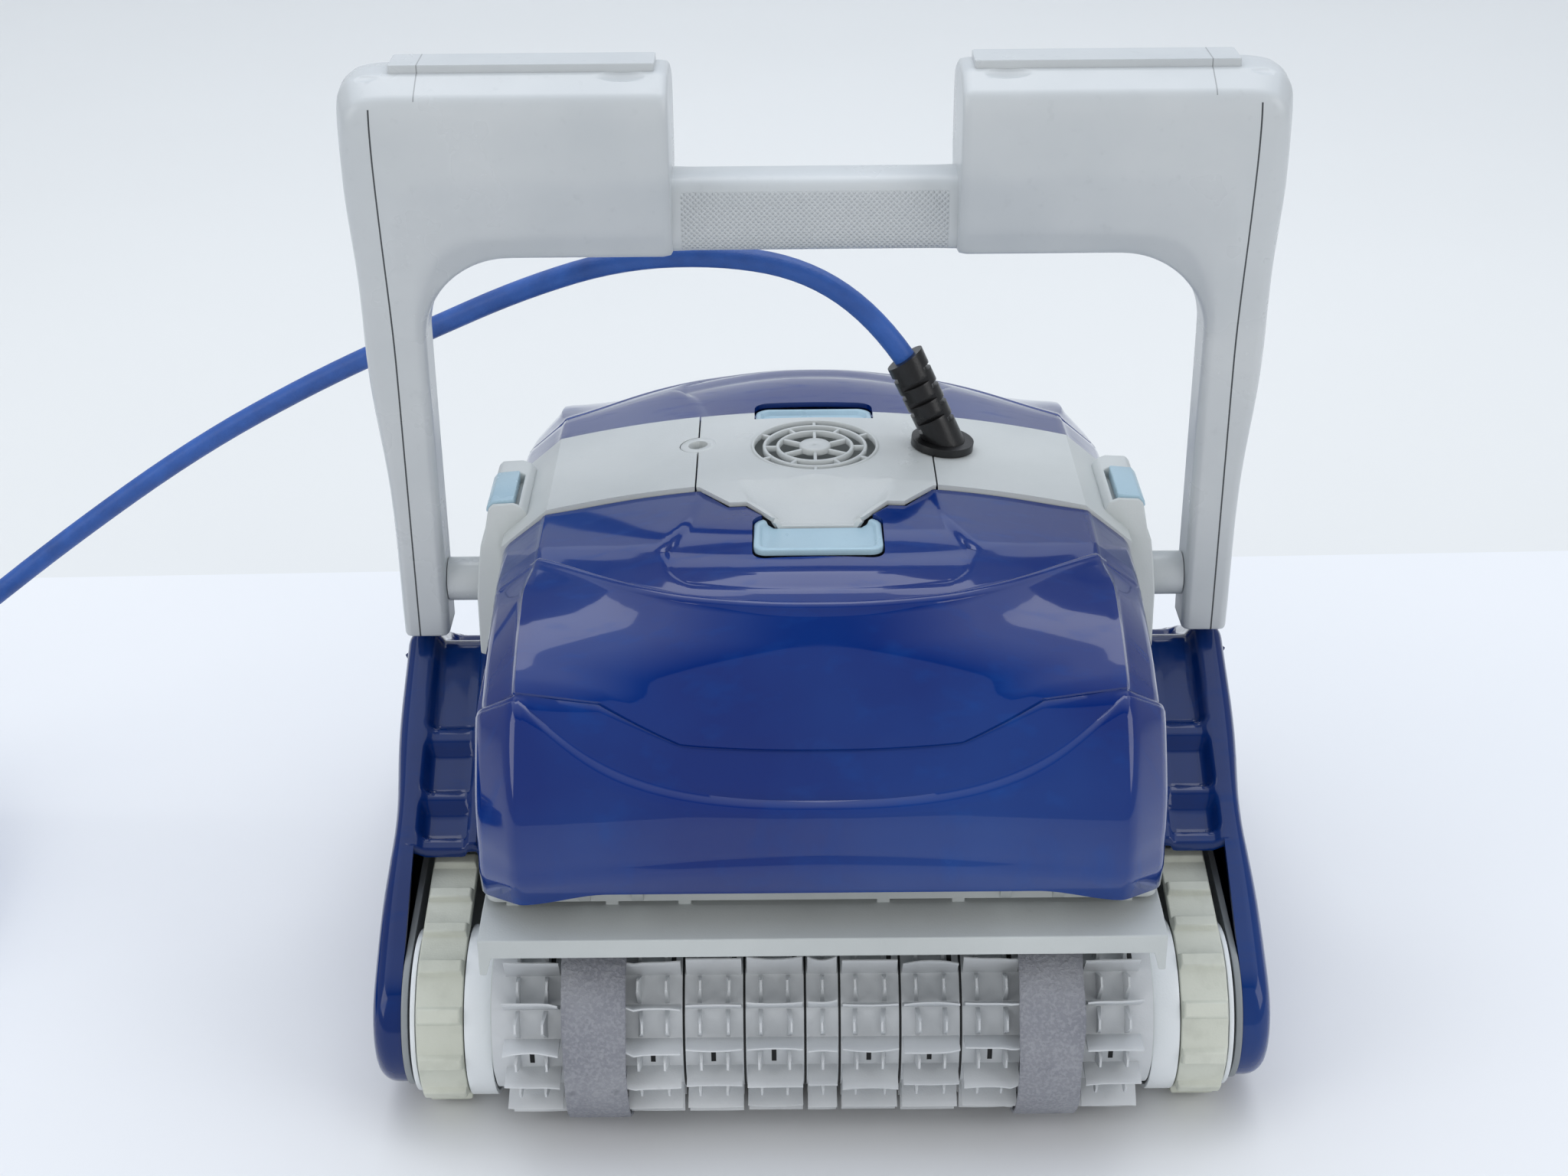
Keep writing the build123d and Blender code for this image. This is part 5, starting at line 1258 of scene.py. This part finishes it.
# ---- Shoulders --------------------------------------------------------------
# Blocks on both sides of the band that hold the handle pivots. Each has a pale
# blue release button in a pocket on top, which is pressed inwards.
shoulder_section = (
    # X and Z round the block, seen from the front
    (152.5, 126.3), (155.5, 126.3), (155.5, 169.4), (167.0, 172.6), (167.0, 203.0), (165.4, 219.0),
    (163.8, 230.6), (162.4, 231.8), (159.2, 248.6), (157.0, 250.8), (147.0, 251.3), (142.8, 249.6),
    (140.4, 246.4), (140.4, 240.0), (152.5, 231.0),
)
shoulder_half_y = 27.0
shoulder_lean = 0.08        # the front face leans forward towards the bottom
button_section = ((147.0, 245.9), (160.7, 245.9), (160.2, 248.8), (157.9, 251.6), (147.0, 252.6))
button_y = (-24.0, 11.0)
pocket_x = (144.6, 170.0)
pocket_gap = 0.4
pocket_over = 260


def bar(name, section, front_y, back_y, lean=0.0):
    """A section in the XZ plane, drawn out along Y; its front leans by lean per height."""
    count = len(section)
    top = max(z for x, z in section)
    points = [(x * mm, (front_y - lean * (top - z)) * mm, z * mm) for x, z in section]
    points += [(x * mm, back_y * mm, z * mm) for x, z in section]
    faces = [tuple(range(count)), tuple(range(2 * count - 1, count - 1, -1))]
    faces += [(k, (k + 1) % count, (k + 1) % count + count, k + count) for k in range(count)]
    piece = add_mesh(name, points, faces, smooth=False)
    face_outwards(piece)
    return piece


for side, place in ((-1, "left"), (1, "right")):
    section = [(side * x, z) for x, z in shoulder_section]
    ends = (-shoulder_half_y, shoulder_half_y)
    block = bar(f"shoulder_block_{place}", section, *ends, shoulder_lean)
    low_y, high_y = button_y[0] - pocket_gap, button_y[1] + pocket_gap
    near_x, far_x = (side * x for x in pocket_x)
    pocket = [(near_x, low_y), (far_x, low_y), (far_x, high_y), (near_x, high_y)]
    floor_z = button_section[0][1] - pocket_gap
    cut(block, prism("button_pocket", pocket, floor_z, pocket_over))
    round_edges(block, 0.0012, segments=3, angle=25)
    block.data.materials.append(band_grey.material)
    block.data.shade_smooth()
    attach(block, "body")
    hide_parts(f"shoulder_{place}")

    button = bar(f"release_cap_{place}", [(side * x, z) for x, z in button_section], *button_y)
    round_edges(button, 0.0008, segments=3, angle=25)
    button.data.materials.append(latch_blue.material)
    button.data.shade_smooth()
    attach(button, f"button_{place}")
    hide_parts(f"release_button_{place}")


# ---- Handle -----------------------------------------------------------------
# Two shells clipped round foam floats, and a grip between them with a fine
# diamond pattern for wet hands. Gloss light grey, with scuffs spread all over it.
handle_grey = Finish("handle_plastic", 0xC3C7C8)
handle_x, handle_z = (
    handle_grey.node("ShaderNodeSeparateXYZ", {}, {0: handle_grey.place()}, axis)
    for axis in "XZ"
)
pattern_pitch = 0.0026
grip_half, grip_top = 0.062, 0.4025             # the pattern covers the grip below its top
seam_x, seam_top = (0.1993, 0.2001), 0.446      # painted shade: a dark line where the shells meet, for the shade in the gap between them
lid_end_x, lid_foot = (0.1791, 0.1797), 0.4492  # painted shade: a fainter dark line at the outer end of a float's lid, for the shade in its gap
slants = [(handle_x + handle_z * way) * (math.pi / pattern_pitch) for way in (-1, 1)]
diamonds = slants[0].maths("SINE", slants[0]) * slants[1].maths("SINE", slants[1])
outward = handle_x.maths("ABSOLUTE", handle_x)
on_grip = (outward < grip_half) * (handle_z < grip_top)
seam_shade_line = (outward > seam_x[0]) * (outward < seam_x[1]) * (handle_z < seam_top)
lid_end_shade_line = (outward > lid_end_x[0]) * (outward < lid_end_x[1]) * (handle_z > lid_foot)
handle_clouds = handle_grey.noise(0.07, 4)
handle_scuffs = handle_grey.noise(0.006, 5, spread=(0.62, 0.78))
handle_aged = handle_grey.mix(handle_clouds, 0xC7CBCC, 0xBDC2C4)
handle_scuffed = handle_grey.mix(handle_scuffs * 0.25, handle_aged, 0xAAAFB1)
# painted shade: Base Color darkens to 0x3A3D40 along the seam, and half as much at the lid's end,
# for the shade in their gaps
handle_grey.set(
    Base_Color=handle_grey.mix(seam_shade_line + lid_end_shade_line * 0.5, handle_scuffed, 0x3A3D40),
    Roughness=handle_clouds * 0.1 + handle_scuffs * 0.1 + 0.24,
    Normal=handle_grey.bump(diamonds * on_grip * diamonds, 0.0006),
)
dress(handle_grey, "float_lids", "handle_pivots", edge=0.001)
float_foam = Finish("float_foam", 0xEDEDEA, Roughness=0.9)
beads = float_foam.noise(0.003, 2)
float_foam.set(
    Base_Color=float_foam.mix(beads, 0xE4E4E0, 0xF0F0ED), Normal=float_foam.bump(beads, 0.0003)
)
dress(float_foam, "float_blocks", edge=0.001)

# half widths across the handle, from its inner to its outer edge, in shares
arm_profile = (
    (0, 0), (0, 0.7), (0.05, 0.92), (0.14, 1), (0.5, 1), (0.86, 1), (0.95, 0.92), (1, 0.7), (1, 0),
)
float_profile = (
    (0, 0), (0, 0.42), (0.02, 0.5), (0.14, 0.71), (0.44, 0.97), (0.48, 1.0), (0.74, 1.0),
    (0.8, 0.985), (0.87, 0.93), (0.9, 0.86), (0.975, 0.4), (0.985, 0),
)
arm_half, float_half = 14.0, 30.0
# both edges as X and Z, from an arm's foot to the inner end of its float
bend_x, bend_z, bend_radius = 143, 329, 42
inner_edge = [(185, 172), (185, 250), (185, 329)]
inner_edge += [
    (bend_x + bend_radius * math.cos(a), bend_z + bend_radius * math.sin(a))
    for a in np.linspace(0, math.pi / 2, 13)[1:]
]
inner_edge += [(120, 371), (92, 371), (66, 371)]
outer_edge = [
    (208, 172), (208, 250), (213.5, 300), (214.5, 325), (214.5, 345), (215, 365), (216.5, 385),
    (218, 405), (218.4, 425), (218.4, 441), (217.5, 451.5), (212, 458), (201, 460), (180, 460),
    (150, 460), (122, 460), (94, 460), (66, 460),
]
end_rounding = ((1.2, 0.985), (2.2, 0.95), (2.4, 0.9))      # how far out, what is left of the width
hollow_x = (207, 87)        # hollows for a fingertip at both ends of the lid
hollow_y, hollow_z = -16, 461
hollow_radii = (17, 7, 6)


def along_edge(edge, stops):
    """Points of an edge at stops, which count its stated points."""
    return np.stack([np.interp(stops, range(len(edge)), [p[k] for p in edge]) for k in (0, 1)], 1)


def soften(line, times):
    """Averages each point of a line with its neighbours, in place."""
    for _ in range(times):
        line[1:-1] = (line[:-2] + 2 * line[1:-1] + line[2:]) / 4


def profile_points(profile, steps=60):
    """Even points along a profile, rounded between its stated ones."""
    line = np.array(profile, float)
    length = lengths_along(line * (1, 0.6))
    stops = np.linspace(0, length[-1], steps * 3 + 1)
    dense = np.stack([np.interp(stops, length, line[:, k]) for k in (0, 1)], 1)
    soften(dense, 6)
    return dense[::3]


for side, place in ((-1, "left"), (1, "right")):
    mould = Mould()
    stops = np.linspace(0, len(inner_edge) - 1, 96)
    inner, outer = along_edge(inner_edge, stops), along_edge(outer_edge, stops)
    soften(inner, 5)
    soften(outer, 5)
    arm_line, float_line = profile_points(arm_profile), profile_points(float_profile)
    rows = []
    for k, (near, far) in enumerate(zip(inner, outer)):
        share = float(ease((stops[k] - 1.7) / 9.0))
        line = arm_line * (1 - share) + float_line * share
        half = arm_half + (float_half - arm_half) * share
        loop = list(line) + [(v, -w) for v, w in line[-2:0:-1]]
        rows.append([(*(near + (far - near) * v), w * half) for v, w in loop])
    for first, second, at_foot in ((rows[0], rows[1], True), (rows[-1], rows[-2], False)):
        # rounded ends
        middle = np.mean(first, 0)
        shift = middle - np.mean(second, 0)
        shift /= np.linalg.norm(shift)
        extra = []
        for out, shrink in end_rounding:
            step = shift * (out - end_rounding[-1][0])
            extra.append([tuple(middle + (np.array(p) - middle) * shrink + step) for p in first])
        rows = extra[::-1] + rows[1:] if at_foot else rows[:-1] + extra
    rows = [[(side * x, y, z) for x, z, y in row] for row in rows]
    mould.patch(rows, closed=True)
    mould.cap(rows[0])
    mould.cap(rows[-1])
    shell = mould.make(f"handle_side_{place}", handle_grey, angle=55)
    for x in hollow_x:
        ball = bmesh.new()
        spot = Matrix.Translation((side * x * mm, hollow_y * mm, hollow_z * mm))
        spot = spot @ Matrix.Diagonal((*hollow_radii, 1))
        bmesh.ops.create_uvsphere(ball, u_segments=32, v_segments=16, radius=mm, matrix=spot)
        hollow = add_mesh("hollow", [], [])
        ball.to_mesh(hollow.data)
        ball.free()
        cut(shell, hollow)
    shell.data.shade_smooth()
    shell.data.set_sharp_from_angle(angle=math.radians(50))
    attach(shell, "handle")
    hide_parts(f"handle_shell_{place}", "handle_frame")

grip_reach = 68             # its ends run on into the floats
grip_z = 390.5
grip_half_y, grip_half_z = 15.0, 18.4
flare_from = 56             # it widens towards the floats from here
mould = Mould()
turns = np.linspace(0, 2 * math.pi, 49)[:-1]
rows = []
for x in np.linspace(-grip_reach, grip_reach, 35):
    flare = 1 + 0.1 * float(ease((abs(x) - flare_from) / 10))
    row = []
    for a in turns:
        # the powers make the section squarer than an ellipse
        c, d = math.cos(a), math.sin(a)
        y = grip_half_y * flare * math.copysign(abs(c) ** 0.62, c)
        z = grip_z + grip_half_z * math.copysign(abs(d) ** 0.55, d)
        row.append((x, y, z))
    rows.append(row)
mould.patch(rows, closed=True)
grip = mould.make("handle_grip", handle_grey, angle=60)
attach(grip, "handle")
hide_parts("handle_frame")


# ---- Cable gland, floating cable and plug -----------------------------------
# A soft blue foam-jacketed cable leaves the rubber strain relief on the top band,
# runs over the left side down to the floor, and lies there in a neat coil.
black_rubber = plastic("black_rubber", 0x0C0C0D, 0x1A1A1B, rough=(0.26, 0.42))
dress(black_rubber, "cable_gland", "strain_relief", edge=0.0005)
plug_black = plastic("plug_plastic", 0x1D1D1F, 0x2B2B2D, rough=(0.4, 0.5))
dress(plug_black, "cable_plug", edge=0.0008)
cable_diameter = 0.011
cable_route = [
    (0.044, 0.010, 0.311),
    (0.030, 0.013, 0.331),
    (-0.002, 0.021, 0.352),
    (-0.042, 0.032, 0.357),
    (-0.094, 0.049, 0.350),
    (-0.146, 0.066, 0.329),
    (-0.201, 0.082, 0.300),
    (-0.262, 0.093, 0.269),
    (-0.332, 0.098, 0.229),
    (-0.410, 0.100, 0.174),
    (-0.480, 0.100, 0.120),
    (-0.536, 0.099, 0.080),
    (-0.576, 0.0985, 0.057),
]
coil_middle = Vector((-0.6, -0.01, 0.0))
coil_spacing = 0.0108
coil_inner = 0.087
coil_wide, coil_high = 5, 4         # turns side by side, and full layers under the last turns
points_per_turn = 16
first_angle = 90.0
change_from = 0.6           # share of a turn after which it shifts to its next place
climb = 1.15                # the last turns rise by this many diameters each
climbing_turns = 4
swell = 1.013               # guide points stand outside the line that they guide


def coil_slots():
    """Radius and height of the turns in the order in which they were laid."""
    columns = [coil_inner + coil_spacing * c for c in range(coil_wide)]
    heights = [cable_diameter / 2 + coil_spacing * r for r in range(coil_high + 1)]
    slots = [(r, heights[coil_high]) for r in columns[2::-1]]
    for row, height in enumerate(reversed(heights[:coil_high])):
        slots += [(r, height) for r in (columns if row % 2 == 0 else columns[::-1])]
    return slots


def round_coil(angle, radius, height):
    """A place round the middle of the coil."""
    return coil_middle + Vector((math.cos(angle) * radius, math.sin(angle) * radius, height))


def coil_points():
    """Guide points of the coil: its turns, then a few up its inner face to the plug."""
    slots = coil_slots()
    inner = slots[-1][0] - cable_diameter
    rise = cable_diameter * climb
    slots += [(inner, slots[-1][1] + rise * k) for k in range(climbing_turns)]
    points = []
    steps = (len(slots) - 1) * points_per_turn
    for step in range(2, steps + 1):
        turn, share = divmod(step, points_per_turn)
        radius, height = slots[turn]
        if share > points_per_turn * change_from and turn + 1 < len(slots):
            blend = (share / points_per_turn - change_from) / (1 - change_from)
            radius += (slots[turn + 1][0] - radius) * blend
            height += (slots[turn + 1][1] - height) * blend
        angle = math.radians(first_angle + 360 * step / points_per_turn)
        points.append(round_coil(angle, radius * swell, height))
    return points


plug_angle = math.radians(300)
plug_radius = 0.1085
plug_height = 0.068
plug_straight = 0.03        # the cable runs straight into the plug
# degrees, radius and height of the way from the last turn to the plug
tail_places = (
    (125, 0.080, 0.053), (165, 0.088, 0.063), (205, 0.097, plug_height), (245, 0.105, plug_height),
)
plug_along = Vector((-math.sin(plug_angle), math.cos(plug_angle), 0))
plug_back = round_coil(plug_angle, plug_radius, plug_height)
cable_line = [Vector(p) for p in cable_route] + coil_points()
for degrees, radius, height in tail_places:
    cable_line.append(round_coil(math.radians(degrees), radius, height))
cable_line += [plug_back - plug_along * plug_straight, plug_back]

cable_curve = bpy.data.curves.new("floating_cable", "CURVE")
cable_curve.dimensions = "3D"
cable_curve.bevel_depth = cable_diameter / 2
cable_curve.bevel_resolution = 5
cable_curve.resolution_u = 6
cable_curve.use_fill_caps = True
spline = cable_curve.splines.new("NURBS")
spline.points.add(len(cable_line) - 1)
for point, place in zip(spline.points, cable_line):
    point.co = (*place, 1)
spline.order_u = 3
spline.use_endpoint_u = True
floating_cable = bpy.data.objects.new("floating_cable", cable_curve)
bpy.context.scene.collection.objects.link(floating_cable)
cable_blue = Finish(
    "cable_blue_foam", 0x2456A4, Roughness=0.5, Coat_Weight=0.15, Coat_Roughness=0.3
)
cable_blue.set(
    Base_Color=cable_blue.mix(cable_blue.noise(0.02, 6, spread=(0.35, 0.8)), 0x2A5DAE, 0x1C4488),
    Normal=cable_blue.bump(cable_blue.noise(0.0012, 4), 0.00012),
)
floating_cable.data.materials.append(cable_blue.material)
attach(floating_cable, "body")
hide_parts("cable", "cable_coil")
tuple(cable_route[0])
